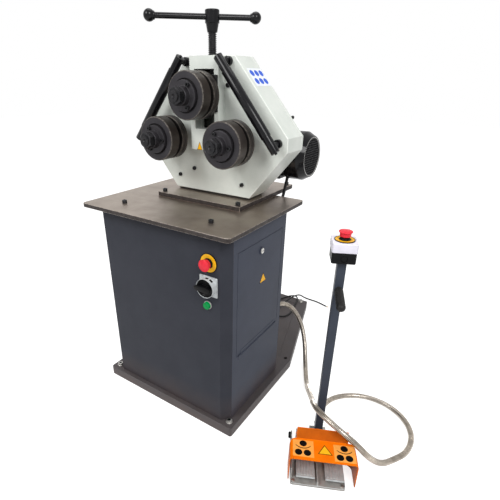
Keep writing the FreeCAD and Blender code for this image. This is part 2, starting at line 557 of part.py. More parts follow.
def roll_nut(name, x, z):
    """Hexagon nut that clamps the roll on its shaft."""
    y = D["roll_y0"] + D["flange_recess"] - D["hub_l"]
    body = hexagon((x, y - D["nut_l"], z), (0, 1, 0), "nut_r", "nut_l")
    bore = rod((x, y - D["nut_l"] - 1, z), (0, 1, 0), "shaft_r + roll_fit", "nut_l + 2")
    return node(cut(body, bore), name)


car_front = front_y - D["column_t"] - D["car_gap"] - D["car_flange_t"]
rolls = [("top", hx, D["top_z"], "shaft_top_back", car_front, 57),
         ("left", hx - D["roll_dx"], D["low_z"], "shaft_back", front_y, 118),
         ("right", hx + D["roll_dx"], D["low_z"], "shaft_back", front_y, 115)]
for where, x, z, back_y, collar_end, first_angle in rolls:
    turned_roll("roll_" + where, x, z, first_angle)
    roll_shaft("shaft_" + where, x, z, back_y, collar_end)
    roll_nut("nut_" + where, x, z)

# ---------------------------------------------------------------- carriage, spindle, T-handle
block = box(("head_x - car_half", "head_front - column_t - car_gap", "car_z0"),
            ("2*car_half", "car_back - head_front + column_t + car_gap", "car_z1 - car_z0"))
apron = box(("head_x - car_flange_half", "head_front - column_t - car_gap - car_flange_t", "car_z0"),
            ("2*car_flange_half", "car_flange_t", "car_z1 - car_z0"))
shaft_bore = rod((hx, 0, D["top_z"]), (0, 1, 0), "shaft_r + shaft_fit", "2*car_back")
pivot_bore = rod((hx, D["spindle_y"], D["car_z1"] - D["pivot_l"] - 1), (0, 0, 1),
                 "pivot_r + pivot_fit", "2*pivot_l")
node(cut(fuse(block, apron), shaft_bore, pivot_bore), "carriage")

at = (hx, D["spindle_y"])
lift = D["car_z1"] + D["spindle_gap"]
tee_a = math.radians(D["tee_angle"])
tee_dir = (math.cos(tee_a), math.sin(tee_a), 0)
tee_start = (hx - tee_dir[0] * D["tee_half"], at[1] - tee_dir[1] * D["tee_half"], D["tee_z"])
spindle = fuse(rod(at + (D["car_z1"] - D["pivot_l"],), (0, 0, 1), "pivot_r", "pivot_l + spindle_gap"),
               rod(at + (lift,), (0, 0, 1), "spindle_r", "taper_z0 - car_z1 - spindle_gap"),
               cone(at + (D["taper_z0"],), (0, 0, 1), "spindle_r + 2", "taper_r", "taper_z1 - taper_z0"),
               rod(at + (D["taper_z1"],), (0, 0, 1), "tee_hub_r",
                   "tee_hub_top - taper_z1 - hub_chamfer"),
               cone(at + (D["tee_hub_top"] - D["hub_chamfer"],), (0, 0, 1), "tee_hub_r",
                    "tee_hub_r - hub_chamfer", "hub_chamfer"))
node(cut(spindle, rod(tee_start, tee_dir, "tee_bar_r + tee_gap", "2*tee_half")), "screw_spindle")

shift = D["tee_shift"]
tee_c = (hx + tee_dir[0] * shift, at[1] + tee_dir[1] * shift, D["tee_z"])
tee_end = [tuple(c + s * D["tee_half"] * d for c, d in zip(tee_c, tee_dir)) for s in (-1, 1)]
node(fuse(rod(tee_end[0], tee_dir, "tee_bar_r", "2*tee_half"),
          ball(tee_end[0], "tee_ball_r"), ball(tee_end[1], "tee_ball_r")), "tee_bar")

# ---------------------------------------------------------------- slanted guard bars
rods, posts, sleeves = [], [], {}
for side, name in ((-1, "sleeve_left"), (1, "sleeve_right")):
    out = D["bar_left_out"] if side < 0 else 0
    start = V(hx + side * (D["bar_top_x"] + out), D["bar_y"], D["bar_top_z"])
    finish = V(hx + side * (D["bar_low_x"] + out), D["bar_y"], D["bar_low_z"])
    run = finish - start
    length = run.Length
    d = run.normalize()
    rods.append(fuse(rod(tuple(start), tuple(d), "bar_r", "%.4f" % length),
                     rod(tuple(start - d * D["bar_end_l"]), tuple(d), "bar_end_r", "bar_end_l + 1"),
                     rod(tuple(finish - d), tuple(d), "bar_end_r", "bar_end_l + 1")))
    for reach in (D["post_top_at"], D["post_low_at"]):
        p = start + d * reach
        neck = rod(tuple(p), (0, 1, 0), "post_r", "head_front - bar_y")
        foot = rod((p.x, front_y - D["post_foot_h"], p.z), (0, 1, 0), "post_foot_r", "post_foot_h")
        posts.append(cut(fuse(neck, foot), rod(tuple(start), tuple(d), "bar_r", "%.4f" % length)))
    tube = rod(tuple(start + d * D["sleeve_from"]), tuple(d), "sleeve_r", "sleeve_to - sleeve_from")
    core = rod(tuple(start), tuple(d), "bar_r + sleeve_fit", "%.4f" % length)
    node(cut(tube, core), name)
node(group(*rods), "guard_rods")
node(group(*posts), "guard_posts")

eye_foot = rod((D["eye_x"], front_y + D["head_d"] + D["cover_t"], D["eye_z"]), (0, 1, 0),
               "eye_r", "eye_y - head_front - head_d - cover_t + eye_rod_r")
eye_rod = rod((D["eye_x"], D["eye_y"], D["eye_z"]), (1, 0, 0), "eye_rod_r", "eye_len")
node(fuse(eye_foot, eye_rod, ball((D["eye_x"] + D["eye_len"], D["eye_y"], D["eye_z"]), "eye_r")),
     "eye_bracket")

# ---------------------------------------------------------------- gearbox and motor
my, mz, mend = D["motor_y"], D["motor_z"], D["cowl_end"]
node(box(("head_x - gear_w/2", "head_front + head_d + cover_t", "gear_z"),
         ("gear_w", "motor_y + motor_r - head_front - head_d - cover_t", "gear_h")), "gearbox")
cowl_x = mend - D["cowl_cone"] - D["cowl_l"]
flange_x = hx + D["gear_w"] / 2
frame_m = rod((flange_x, my, mz), (1, 0, 0), "motor_r",
              "cowl_end - cowl_cone - cowl_l - head_x - gear_w/2")
flange_m = rod((flange_x, my, mz), (1, 0, 0), "motor_flange_r", "motor_flange_t")
terminal = box(("term_x", "motor_y - 1.5*term_d", "motor_z - term_down"), ("term_l", "term_d", "term_h"))
end_bell = rod((cowl_x - D["bell_t"], my, mz), (1, 0, 0), "cowl_r - bell_in", "bell_t")
node(fuse(frame_m, flange_m, end_bell, terminal), "motor_body")
shell = fuse(rod((cowl_x, my, mz), (1, 0, 0), "cowl_r", "cowl_l"),
             cone((cowl_x + D["cowl_l"], my, mz), (1, 0, 0), "cowl_r", "cowl_end_r", "cowl_cone"))
hollow_m = fuse(rod((cowl_x - 1, my, mz), (1, 0, 0), "cowl_r - cowl_wall", "cowl_l + 1"),
                cone((cowl_x + D["cowl_l"] - 0.01, my, mz), (1, 0, 0), "cowl_r - cowl_wall",
                     "cowl_end_r - cowl_wall/2", "cowl_cone - cowl_wall"))
slats = []
slat_count = int(D["slat_count"])
step = 2 * D["cowl_end_r"] / (slat_count + 1)
for k in range(slat_count):
    z = mz - D["cowl_end_r"] + step * (k + 1)
    chord = math.sqrt(D["cowl_end_r"] ** 2 - (z - mz) ** 2) - D["slat_in"]
    slats.append(box(("cowl_end - 2*cowl_wall", "motor_y - %.4f" % chord, "%.4f - grille_slot/2" % z),
                     ("4*cowl_wall", "%.4f" % (2 * chord), "grille_slot")))
node(cut(shell, hollow_m, *slats), "motor_cowl")

# ---------------------------------------------------------------- pedal unit
PED = FreeCAD.Placement(V(D["ped_x"], D["ped_y"], 0), FreeCAD.Rotation(Z_AXIS, D["ped_turn"]))
gw, gh, gt, gr = D["guard_w"], D["guard_h"], D["guard_t"], D["guard_bend_r"]
gd, foot, gc = D["guard_d"], D["guard_foot"], D["guard_corner_r"]


def hood(inset, front, low):
    """Block with rounded top edges and rounded rear corners, smaller than the guard by inset."""
    across = Solid("hood_across")
    section = [(inset, low), (gw - inset, low), (gw - inset, gh - inset), (inset, gh - inset)]
    across.pad("XZ", -front, edges_of(section, [0, 0, gr - inset, gr - inset]),
               "%.4f" % (gd - inset - front), True)
    plan = Solid("hood_plan")
    rim = [(inset, front), (gw - inset, front), (gw - inset, gd - inset), (inset, gd - inset)]
    plan.pad("XY", low, edges_of(rim, [0, 0, gc - inset, gc - inset]), "guard_h")
    return common(across.body, plan.body)


throat = box((D["ped_u0"] - D["guard_gap_left"], gd - gc, -foot),
             ("ped_w + guard_gap_left + guard_gap_right", "2*guard_corner_r", "ped_box_h + guard_foot"),
             FreeCAD.Placement())
guard = cut(hood(0, 0, foot), hood(gt, -gt, -foot), throat)
guard.Placement = PED
lean_a = math.radians(D["guard_flange_lean"])
lean = FreeCAD.Rotation(X_AXIS, -D["guard_flange_lean"])
flange = box((D["guard_flange_in"], gd - gt, gh - gt), ("guard_w - 2*guard_flange_in", "guard_t",
             "guard_flange_l"), PED, lean)
shelf = box((D["guard_flange_in"], gd - gt, D["ped_box_h"]),
            ("ped_u0 + ped_w - 2*guard_flange_in", "guard_shelf_l", "guard_t"), PED)
cheek_v, cheek_z = gd - gt / 2, D["ped_box_h"] + gt / 2
ridge = (cheek_v + D["guard_flange_l"] * math.sin(lean_a), gh - gt + D["guard_flange_l"] * math.cos(lean_a))
side_plates = []
for u in (D["guard_flange_in"], gw - D["guard_flange_in"] - gt):
    plate = Solid("guard_cheek")
    plate.pad("YZ", u, edges_of([(cheek_v, cheek_z), (cheek_v + D["guard_cheek_l"], cheek_z), ridge,
                                 (cheek_v, gh - gt / 2)], 0), "guard_t")
    plate.body.Placement = PED
    side_plates.append(plate.body)
node(fuse(guard, flange, shelf, *side_plates), "pedal_guard")

u0, pw, pt = D["ped_u0"], D["ped_w"], D["ped_t"]
floor_plate = Solid("pedal_floor")
rim = [(u0, D["ped_v0"]), (u0 + pw, D["ped_v0"]), (u0 + pw, D["ped_v1"]), (u0, D["ped_v1"])]
floor_plate.pad("XY", 0, edges_of(rim, 6), "ped_t")
floor_plate.body.Placement = PED
tongue = box((D["ped_post_u"] - D["tongue_half"], D["ped_v1"] - 5, 0),
             ("2*tongue_half", "tongue_v - ped_v1 + 5", "ped_t"), PED)
rib_mid = box((u0 + pw / 2 - D["ped_rib_t"] / 2, D["ped_v0"] + D["rib_mid_back"] / 2, pt / 2),
              ("ped_rib_t", "tread_pivot_v - ped_v0 - 1.5*rib_mid_back", "ped_rib_h + ped_t/2"), PED)
rib_left = box((u0, D["ped_v0"] + D["rib_left_front"], pt / 2),
               ("ped_rib_t", "ped_v1 - ped_v0 - rib_left_front", "3*ped_rib_h + ped_t/2"), PED)
rib_right = box((u0 + pw - D["ped_rib_t"] / 2, D["ped_v0"] + D["rib_right_front"], pt / 2),
                ("ped_rib_t/2", "tread_pivot_v - cheek_d/2 - ped_v0 - 2*rib_right_front",
                 "ped_rib_h/2 + ped_t/2"), PED)
case = box((u0 + D["case_in"], D["ped_box_v"], pt / 2),
           ("ped_w - 2*case_in", "ped_v1 - ped_box_v", "ped_box_h - ped_t/2"), PED)
node(fuse(floor_plate.body, tongue, rib_mid, rib_left, rib_right, case), "pedal_base")

TREAD = FreeCAD.Rotation(X_AXIS, -D["tread_rest"])
pv, pz = D["tread_pivot_v"], D["tread_pivot_z"]
pins = []
for name, u in (("pedal_left", D["tread_lu"]), ("pedal_right", D["tread_ru"])):
    hinge = PED.multiply(FreeCAD.Placement(V(u, pv, pz), TREAD))
    plate = box((0, D["tread_front"] - pv, -D["tread_t"] / 2),
                ("tread_w", "tread_pivot_v - tread_front", "tread_t"), hinge)
    bars = []
    for k in range(5):
        bar_u = D["grip_bar_w"] + D["grip_bar_step"] * k
        bars.append(box((bar_u, D["tread_front"] - pv + D["grip_bar_in"], 0),
                        ("grip_bar_w", "tread_pivot_v - tread_front - grip_bar_in - grip_bar_back",
                         "tread_t/2 + grip_bar_h"), hinge))
    eye = rod((0, 0, 0), (1, 0, 0), "tread_eye_r", "tread_w", hinge)
    hole = rod((-1, 0, 0), (1, 0, 0), "tread_pin_r + tread_fit", "tread_w + 2", hinge)
    node(cut(fuse(plate, eye, *bars), hole), name)
cheek_l, cheek_r = D["cheek_gap"] + D["cheek_t"], D["tread_w"] + D["cheek_gap"]
cheeks = [box((u, pv - D["cheek_d"] / 2, pt),
              ("cheek_t", "cheek_d", "tread_pivot_z - ped_t + cheek_d/2"), PED)
          for tread_u in (D["tread_lu"], D["tread_ru"]) for u in (tread_u - cheek_l, tread_u + cheek_r)]
pin_rod = rod((D["tread_lu"] - cheek_l, pv, pz), (1, 0, 0), "tread_pin_r",
              "tread_ru - tread_lu + tread_w + 2*cheek_gap + 2*cheek_t", PED)
node(fuse(pin_rod, *cheeks), "pedal_axle")

floor_v = D["ped_v0"] + D["floor_screw_in"]
node(group(*[rod((u, floor_v, pt), (0, 0, 1), "floor_screw_r", "floor_screw_h", PED)
             for u in (u0 + D["floor_screw_in"], u0 + pw - D["floor_screw_in"])]), "pedal_screws")

post_frame = PED.multiply(FreeCAD.Placement(V(D["ped_post_u"], D["ped_post_v"], 0),
                                            FreeCAD.Rotation()))
s, pt2 = D["ped_post_s"], D["ped_post_t"]
tube = box((-s / 2, -s / 2, pt), ("ped_post_s", "ped_post_s", "box_z0 - ped_t"), post_frame)
void = box((-s / 2 + pt2, -s / 2 + pt2, pt + 1),
           ("ped_post_s - 2*ped_post_t", "ped_post_s - 2*ped_post_t", "box_z0"), post_frame)
node(cut(tube, void), "pedal_post")

tilt = math.radians(D["grip_tilt"])
grip_dir = V(0, -math.cos(tilt), -math.sin(tilt))
grip_root = V(0, -s / 2, D["grip_z"])
grip_neck = rod(tuple(grip_root), (0, -1, 0), "grip_neck_r", "2*grip_neck_l", post_frame)
grip = rod(tuple(grip_root + grip_dir * D["grip_neck_l"]), tuple(grip_dir), "grip_r",
           "grip_l - grip_neck_l", post_frame)
grip_end = doc.addObject("Part::Sphere", "grip_end")
bind(grip_end, "Radius", "grip_r")
grip_end.Placement = post_frame.multiply(
    FreeCAD.Placement(grip_root + grip_dir * D["grip_l"], FreeCAD.Rotation()))
node(fuse(grip_neck, grip, grip_end), "post_grip")

bs, br = D["box_s"] / 2, D["box_r"]
square = [(-bs, -bs), (bs, -bs), (bs, bs), (-bs, bs)]
small = [(x * D["box_taper"], y * D["box_taper"]) for x, y in square]
lower = Solid("box_lower")
lower.pad("XY", D["box_z0"], edges_of(small, br), "box_seam - box_z0")
lower.body.Placement = post_frame
knockout = rod((0, -bs * D["box_taper"], (D["box_z0"] + D["box_seam"]) / 2), (0, -1, 0),
               "knockout_r", "knockout_h", post_frame)
node(fuse(lower.body, knockout), "stop_box_lower")
lid = Solid("box_lid")
lid.pad("XY", D["box_seam"], edges_of(square, br), "box_z1 - box_seam")
lid.pocket("XY", D["box_z1"], [circle(0, 0, D["collar_neck_r"] + D["shaft_fit"])],
           "collar_neck_l + sheet_t")
lid.body.Placement = post_frame
node(lid.body, "stop_box_lid")
top = post_frame.multVec(V(0, 0, D["box_z1"]))
ped_stop = (top.x, top.y, top.z)
node(estop_ring(ped_stop, (0, 0, 1), D["mush_lift"] - 4, "box_disc_r"), "estop_ring_pedal")
node(estop_button(ped_stop, (0, 0, 1)), "estop_button_pedal")

rear_v = D["ped_post_v"] + D["ped_post_s"] / 2
gland_at = (D["ped_post_u"], rear_v, D["gland_z"])
gland = fuse(rod(gland_at, (0, 1, 0), "gland_r", "gland_l", PED),
             rod(gland_at, (0, 1, 0), "gland_r + gland_rim", "gland_l/3", PED))
plug = rod((u0, D["ped_v1"] - D["plug_in"], D["gland_z"]), (-1, 0, 0), "gland_r", "gland_l/2", PED)
node(group(gland, plug), "pedal_glands")


# ---------------------------------------------------------------- cords
def rounded_path(points):
    """Straight runs joined by tangent arcs; returns the wire and its smallest bend radius."""
    pts = [V(*p) for p in points]
    edges, radii, here = [], [], pts[0]
    for i in range(1, len(pts) - 1):
        back, ahead = pts[i - 1] - pts[i], pts[i + 1] - pts[i]
        turn = math.pi - back.getAngle(ahead)
        radius = 0.45 * min(back.Length, ahead.Length) / math.tan(turn / 2)
        reach = radius * math.tan(turn / 2)
        back.normalize()
        ahead.normalize()
        first, last = pts[i] + back * reach, pts[i] + ahead * reach
        middle = pts[i] + (back + ahead).normalize() * (radius / math.cos(turn / 2) - radius)
        edges.append(Part.LineSegment(here, first).toShape())
        edges.append(Part.Arc(first, middle, last).toShape())
        radii.append(radius)
        here = last
    edges.append(Part.LineSegment(here, pts[-1]).toShape())
    return Part.Wire(edges), min(radii)


def cord(name, points, radius_alias):
    """Round cord swept along its path."""
    wire, tightest = rounded_path(points)
    spine = doc.addObject("Part::Feature", name + "_path")
    spine.Shape = wire
    profile = doc.addObject("Part::Circle", name + "_section")
    bind(profile, "Radius", radius_alias)
    heading = V(*points[1]) - V(*points[0])
    profile.Placement = FreeCAD.Placement(V(*points[0]), aim(tuple(heading)))
    sweep = doc.addObject("Part::Sweep", name)
    sweep.Sections = [profile]
    sweep.Spine = (spine, ["Edge%d" % (i + 1) for i in range(len(wire.Edges))])
    sweep.Solid = True
    sweep.Frenet = False
    print("%s: length %.0f mm, tightest bend %.0f mm" % (name, wire.Length, tightest))
    return node(sweep, name)


HOSE = [
    (205, 176.4, 266), (205, 232, 270), (210, 290, 268), (228, 335.5, 245), (252, 362, 205),
    (283, 363.5, 156.5), (317, 335, 93), (346, 287, 36), (372, 240, 12), (404, 175.5, 18.5),
    (437, 110, 56), (463, 63.5, 81.5), (483, 24, 106), (501, -17.5, 133.5), (531, -60, 155),
    (579, -88, 160), (630, -97.5, 146.5), (673.5, -88.5, 117.5), (712, -69, 68), (745, -28, 23),
    (772, 25, 9.9), (796, 66, 9.9), (803, 115, 9.9), (796, 160, 9.9), (775, 200, 9.9), (739, 234, 9.9),
    (694, 254, 9.9), (646, 258, 9.9), (601, 249, 9.9), (558, 225, 9.9), (523, 191, 9.9), (505, 152, 13),
    (502, 107, 24), (505, 62, 33), (514.5, 20, 35),
]
MOTOR_CABLE = [
    (209, 282, 792.6), (205, 282, 767), (200, 282, 738), (194, 281, 706), (189, 274, 676),
    (186, 256, 653), (185, 229, 642), (185, 202, 642), (186, 176.6, 645),
]
MAINS = [
    (-40, 176.4, 92), (-41, 222, 86), (-44, 270, 60), (-46, 325, 42), (-42, 410, 38.9), (-33, 500, 38.9),
    (-17, 590, 38.9), (3, 655, 38.9), (26, 702, 40.9), (42, 743, 40.9), (72, 770, 40.9),
    (98, 742, 40.9), (107, 697, 40.9), (118, 640, 38.9), (128, 590, 38.9), (118, 546, 38.9),
    (83, 530, 38.9), (60, 562, 38.9), (55, 607, 40), (58, 652, 44.5), (66, 697, 51), (79, 739, 56.5),
    (93, 775, 51), (107, 806, 23), (128, 833, 5), (165, 834, 4.4), (200, 826, 4), (228, 817, 4),
]
cord("control_hose", HOSE, "hose_r")
cord("motor_cable", MOTOR_CABLE, "motor_cable_r")
cord("mains_lead", MAINS, "mains_r")

# ---------------------------------------------------------------- checks and export
doc.recompute()
broken = [o.Name for o in doc.Objects if "Invalid" in o.State or "Error" in o.State]
if broken:
    raise RuntimeError("features that failed: " + ", ".join(broken))
for label, obj in NODES.items():
    shape = obj.Shape
    if shape.isNull() or not shape.isValid() or not shape.Solids:
        raise RuntimeError("bad shape: " + label)
    shape.exportStep("parts/%s.step" % label)
print("%d sub-parts written" % len(NODES))
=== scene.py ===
# %% [markdown]
# # A three-roll ring roller
# This machine bends bar and flat steel into rings. It has a sheet-metal cabinet on a floor frame, a
# thick steel table, a cast head with three grooved rolls, a T-handle that lowers the top roll, and a
# foot unit on a steel conduit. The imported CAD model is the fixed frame. Every piece below is placed
# in that same frame, so nothing has to be fitted by eye. Sizes are written in millimetres and turned
# into Blender's metres with `MM`.

# %% Load the frame
import math

import bpy
from mathutils import Matrix, Vector


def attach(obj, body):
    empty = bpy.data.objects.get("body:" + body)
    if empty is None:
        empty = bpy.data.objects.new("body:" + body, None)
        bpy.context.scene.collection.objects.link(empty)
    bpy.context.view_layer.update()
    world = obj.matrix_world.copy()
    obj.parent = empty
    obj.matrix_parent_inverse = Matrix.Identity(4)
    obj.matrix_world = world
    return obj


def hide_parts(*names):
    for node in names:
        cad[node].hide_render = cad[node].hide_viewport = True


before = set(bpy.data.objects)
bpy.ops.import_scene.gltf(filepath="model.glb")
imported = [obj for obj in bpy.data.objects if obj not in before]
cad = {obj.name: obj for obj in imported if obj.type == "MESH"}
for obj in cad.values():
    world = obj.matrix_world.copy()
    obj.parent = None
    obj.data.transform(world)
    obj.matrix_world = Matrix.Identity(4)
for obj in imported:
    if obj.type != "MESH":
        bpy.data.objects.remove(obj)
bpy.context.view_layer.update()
MM = 0.001

# %% [markdown]
# ## Camera
# The viewer stands off the machine's front right corner, about chest height, and looks down on it
# through a fairly wide lens. A camera can be turned with three Euler angles, but their order is easy
# to get wrong. Here its right, up and back directions are worked out one after another and written
# into a matrix, where each can be checked. The small shift slides the frame without turning the
# camera, so upright lines keep their slant.

# %% Camera
YAW, DOWN, LEAN = math.radians(34.022), math.radians(25.651), math.radians(0.405)
STANDPOINT = (0.82738, -1.00465, 1.09120)
heading = Vector((-math.sin(YAW), math.cos(YAW), 0))
forward = heading * math.cos(DOWN) - Vector((0, 0, math.sin(DOWN)))
level = Vector((math.cos(YAW), math.sin(YAW), 0))
raised = heading * math.sin(DOWN) + Vector((0, 0, math.cos(DOWN)))
right = level * math.cos(LEAN) + raised * math.sin(LEAN)
upward = raised * math.cos(LEAN) - level * math.sin(LEAN)
camera = bpy.data.objects.new("camera", bpy.data.cameras.new("camera"))
bpy.context.scene.collection.objects.link(camera)
facing = Matrix((right, upward, -forward)).transposed().to_4x4()
camera.matrix_world = Matrix.Translation(STANDPOINT) @ facing
camera.data.lens, camera.data.sensor_width = 28.73, 36
camera.data.shift_x, camera.data.shift_y = 0.0435, 0.0431
camera.data.clip_start = 0.02
bpy.context.scene.camera = camera
bpy.context.scene.view_settings.view_transform = "Standard"
print("camera", [round(c, 3) for c in camera.location])

# %% [markdown]
# ## Small tools
# Operators act on whatever is selected, so each tool first clears the selection. `settle` is the
# last step of every piece: its place goes into its mesh, it gets its name and it rides on a body.


# %% Select, settle, apply
def pick(*things):
    """Leave only these objects selected, the last one active."""
    if bpy.context.object and bpy.context.object.mode != "OBJECT":
        bpy.ops.object.mode_set(mode="OBJECT")
    bpy.ops.object.select_all(action="DESELECT")
    for thing in things:
        thing.select_set(True)
    bpy.context.view_layer.objects.active = things[-1]


def settle(piece, name, body, slot, *finishes, smooth=30):
    """Bake the place into the mesh, then name, paint, smooth and hang the piece on its body."""
    pick(piece)
    bpy.ops.object.transform_apply(location=True, rotation=True, scale=True)
    piece.name = piece.data.name = name
    if finishes:
        piece.data.materials.clear()
        for finish in finishes:
            piece.data.materials.append(finish)
    if smooth:
        bpy.ops.object.shade_smooth_by_angle(angle=math.radians(smooth))
    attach(piece, body)
    return piece


def apply_all(piece):
    """Apply every modifier of the piece, in order."""
    pick(piece)
    for modifier in list(piece.modifiers):
        bpy.ops.object.modifier_apply(modifier=modifier.name)


print("small tools ready")

# %% [markdown]
# ## Cords
# Three cords leave the machine: a steel-armoured conduit to the foot unit, the motor's cable and
# a loose mains lead that still waits for its plug. Each one is a single NURBS curve whose control
# points are the bends of the route. A poly line would show corners and Bezier handles would have to
# be balanced at every bend, while a NURBS curve droops and turns softly by itself.

# %% Routes
HOSE_ROUTE = [
    (205, 176.4, 266), (205, 232, 270), (210, 290, 268), (228, 335.5, 245), (252, 362, 205),
    (283, 363.5, 156.5), (317, 335, 93), (346, 287, 36), (372, 240, 12), (404, 175.5, 18.5),
    (437, 110, 56), (463, 63.5, 81.5), (483, 24, 106), (501, -17.5, 133.5), (531, -60, 155),
    (579, -88, 160), (630, -97.5, 146.5), (673.5, -88.5, 117.5), (712, -69, 68), (745, -28, 23),
    (772, 25, 9.9), (796, 66, 9.9), (803, 115, 9.9), (796, 160, 9.9), (775, 200, 9.9), (739, 234, 9.9),
    (694, 254, 9.9), (646, 258, 9.9), (601, 249, 9.9), (558, 225, 9.9), (523, 191, 9.9), (505, 152, 13),
    (502, 107, 24), (505, 62, 33), (514.5, 20, 35),
]
MOTOR_ROUTE = [
    (209, 282, 792.6), (205, 282, 767), (200, 282, 738), (194, 281, 706), (189, 274, 676),
    (186, 256, 653), (185, 229, 642), (185, 202, 642), (186, 176.6, 645),
]
MAINS_ROUTE = [
    (-40, 176.4, 92), (-41, 222, 86), (-44, 270, 60), (-46, 325, 42), (-42, 410, 38.9), (-33, 500, 38.9),
    (-17, 590, 38.9), (3, 655, 38.9), (26, 702, 40.9), (42, 743, 40.9), (72, 770, 40.9),
    (98, 742, 40.9), (107, 697, 40.9), (118, 640, 38.9), (128, 590, 38.9), (118, 546, 38.9),
    (83, 530, 38.9), (60, 562, 38.9), (55, 607, 40), (58, 652, 44.5), (66, 697, 51), (79, 739, 56.5),
    (93, 775, 51), (107, 806, 23), (128, 833, 5), (165, 834, 4.4), (200, 826, 4), (228, 817, 4),
]
print("bends", len(HOSE_ROUTE), len(MOTOR_ROUTE), len(MAINS_ROUTE))

# %% [markdown]
# One helper lays a cord through its bends and two others measure it. The length is read from the
# curve's own line, because that line is the middle of the cord.


# %% Cord tools
def route_curve(name, route, radius):
    """One open NURBS curve through the route, as thick as the cord."""
    line = bpy.data.curves.new(name, "CURVE")
    line.dimensions = "3D"
    spline = line.splines.new("NURBS")
    spline.points.add(len(route) - 1)
    for point, place in zip(spline.points, route):
        point.co = (place[0] * MM, place[1] * MM, place[2] * MM, 1)
    spline.order_u = 3
    spline.use_endpoint_u = True
    line.resolution_u = 12
    line.bevel_depth = radius * MM
    line.bevel_resolution = 5
    line.use_fill_caps = True
    cord = bpy.data.objects.new(name, line)
    bpy.context.scene.collection.objects.link(cord)
    return cord


def line_points(cord):
    """The points of a curve's own line, read without its thickness."""
    depth, cord.data.bevel_depth = cord.data.bevel_depth, 0
    bpy.context.view_layer.update()
    mesh = bpy.data.meshes.new_from_object(cord.evaluated_get(bpy.context.evaluated_depsgraph_get()))
    cord.data.bevel_depth = depth
    points = [vertex.co.copy() for vertex in mesh.vertices]
    bpy.data.meshes.remove(mesh)
    return points


def length_of(points):
    """The length of a chain of points."""
    return sum((b - a).length for a, b in zip(points, points[1:]))


print("cord tools ready")

# %% [markdown]
# ## Finishes
# Every finish is built from a few shared effects: patches of slightly different colour, the orange
# peel of sprayed paint, lines left by a grinder or a lathe, and dirt that gathers near the floor.
# Each effect is a node group with named inputs. The nodes could be copied into every material
# instead, but then a change would have to be made dozens of times. These helpers keep the node
# trees short to write.


# %% Groups and maths
def effect(name, inputs, outputs):
    """An empty node group with named sockets; returns it with its input and output nodes."""
    group = bpy.data.node_groups.new(name, "ShaderNodeTree")
    kinds = {"value": "NodeSocketFloat", "colour": "NodeSocketColor", "vector": "NodeSocketVector"}
    for label, kind, default in inputs:
        socket = group.interface.new_socket(name=label, in_out="INPUT", socket_type=kinds[kind])
        socket.default_value = default
    for label, kind in outputs:
        group.interface.new_socket(name=label, in_out="OUTPUT", socket_type=kinds[kind])
    return group, group.nodes.new("NodeGroupInput"), group.nodes.new("NodeGroupOutput")


def feed(tree, socket, value):
    """Link a socket to another one, or set it to a plain number."""
    if isinstance(value, (int, float)):
        socket.default_value = value
    else:
        tree.links.new(value, socket)


def own_place(tree):
    """Object coordinates, which stay with the piece."""
    return tree.nodes.new("ShaderNodeTexCoord").outputs["Object"]


def math_node(tree, operation, *feeds):
    """A Math node fed by sockets or plain numbers."""
    node = tree.nodes.new("ShaderNodeMath")
    node.operation = operation
    for socket, value in zip(node.inputs, feeds):
        feed(tree, socket, value)
    return node.outputs[0]


def vector_node(tree, operation, *feeds):
    """A Vector Math node fed by sockets."""
    node = tree.nodes.new("ShaderNodeVectorMath")
    node.operation = operation
    for socket, value in zip(node.inputs, feeds):
        tree.links.new(value, socket)
    return node


print("group and maths helpers ready")

# %% [markdown]
# Noise gives every effect its irregularity. A range picks the part of it that counts, which decides
# between soft clouds and sharp flecks, and a mix turns the result into colour.


# %% Noise, ranges and mixes
def noise_node(tree, scale, detail=4, roughness=0.6, stretch=None):
    """Noise on Object coordinates, stretched by per-axis factors where asked."""
    source = own_place(tree)
    if stretch:
        mapping = tree.nodes.new("ShaderNodeMapping")
        mapping.inputs["Scale"].default_value = stretch
        tree.links.new(source, mapping.inputs["Vector"])
        source = mapping.outputs["Vector"]
    noise = tree.nodes.new("ShaderNodeTexNoise")
    tree.links.new(source, noise.inputs["Vector"])
    feed(tree, noise.inputs["Scale"], scale)
    noise.inputs["Detail"].default_value = detail
    noise.inputs["Roughness"].default_value = roughness
    return noise.outputs["Fac"]


def range_node(tree, value, low, high, out_low=0.0, out_high=1.0):
    """Stretch what lies between low and high over a new range."""
    node = tree.nodes.new("ShaderNodeMapRange")
    tree.links.new(value, node.inputs["Value"])
    for label, limit in (("From Min", low), ("From Max", high), ("To Min", out_low), ("To Max", out_high)):
        node.inputs[label].default_value = limit
    return node.outputs["Result"]


def mix_node(tree, factor, first, second):
    """Mix two colours, each a socket or a plain RGB triple."""
    node = tree.nodes.new("ShaderNodeMix")
    node.data_type = "RGBA"
    feed(tree, node.inputs["Factor"], factor)
    for socket, colour in ((node.inputs[6], first), (node.inputs[7], second)):
        if isinstance(colour, tuple):
            socket.default_value = (*colour, 1)
        else:
            tree.links.new(colour, socket)
    return node.outputs[2]


print("noise helpers ready")

# %% [markdown]
# Paint is never one even colour. `patches` drifts between two close tones. `orange_peel` is the
# pebbled skin of sprayed paint, made from fine noise with a coarser one added, because one noise
# alone looks like sand.

# %% Patches and peel
patches, given, out = effect(
    "patches",
    [("First", "colour", (1, 1, 1, 1)), ("Second", "colour", (0, 0, 0, 1)), ("Per metre", "value", 20.0)],
    [("Colour", "colour"), ("Mask", "value")])
mask = range_node(patches, noise_node(patches, given.outputs["Per metre"]), 0.38, 0.66)
patches.links.new(mask, out.inputs["Mask"])
patches.links.new(mix_node(patches, mask, given.outputs["First"], given.outputs["Second"]),
                  out.inputs["Colour"])

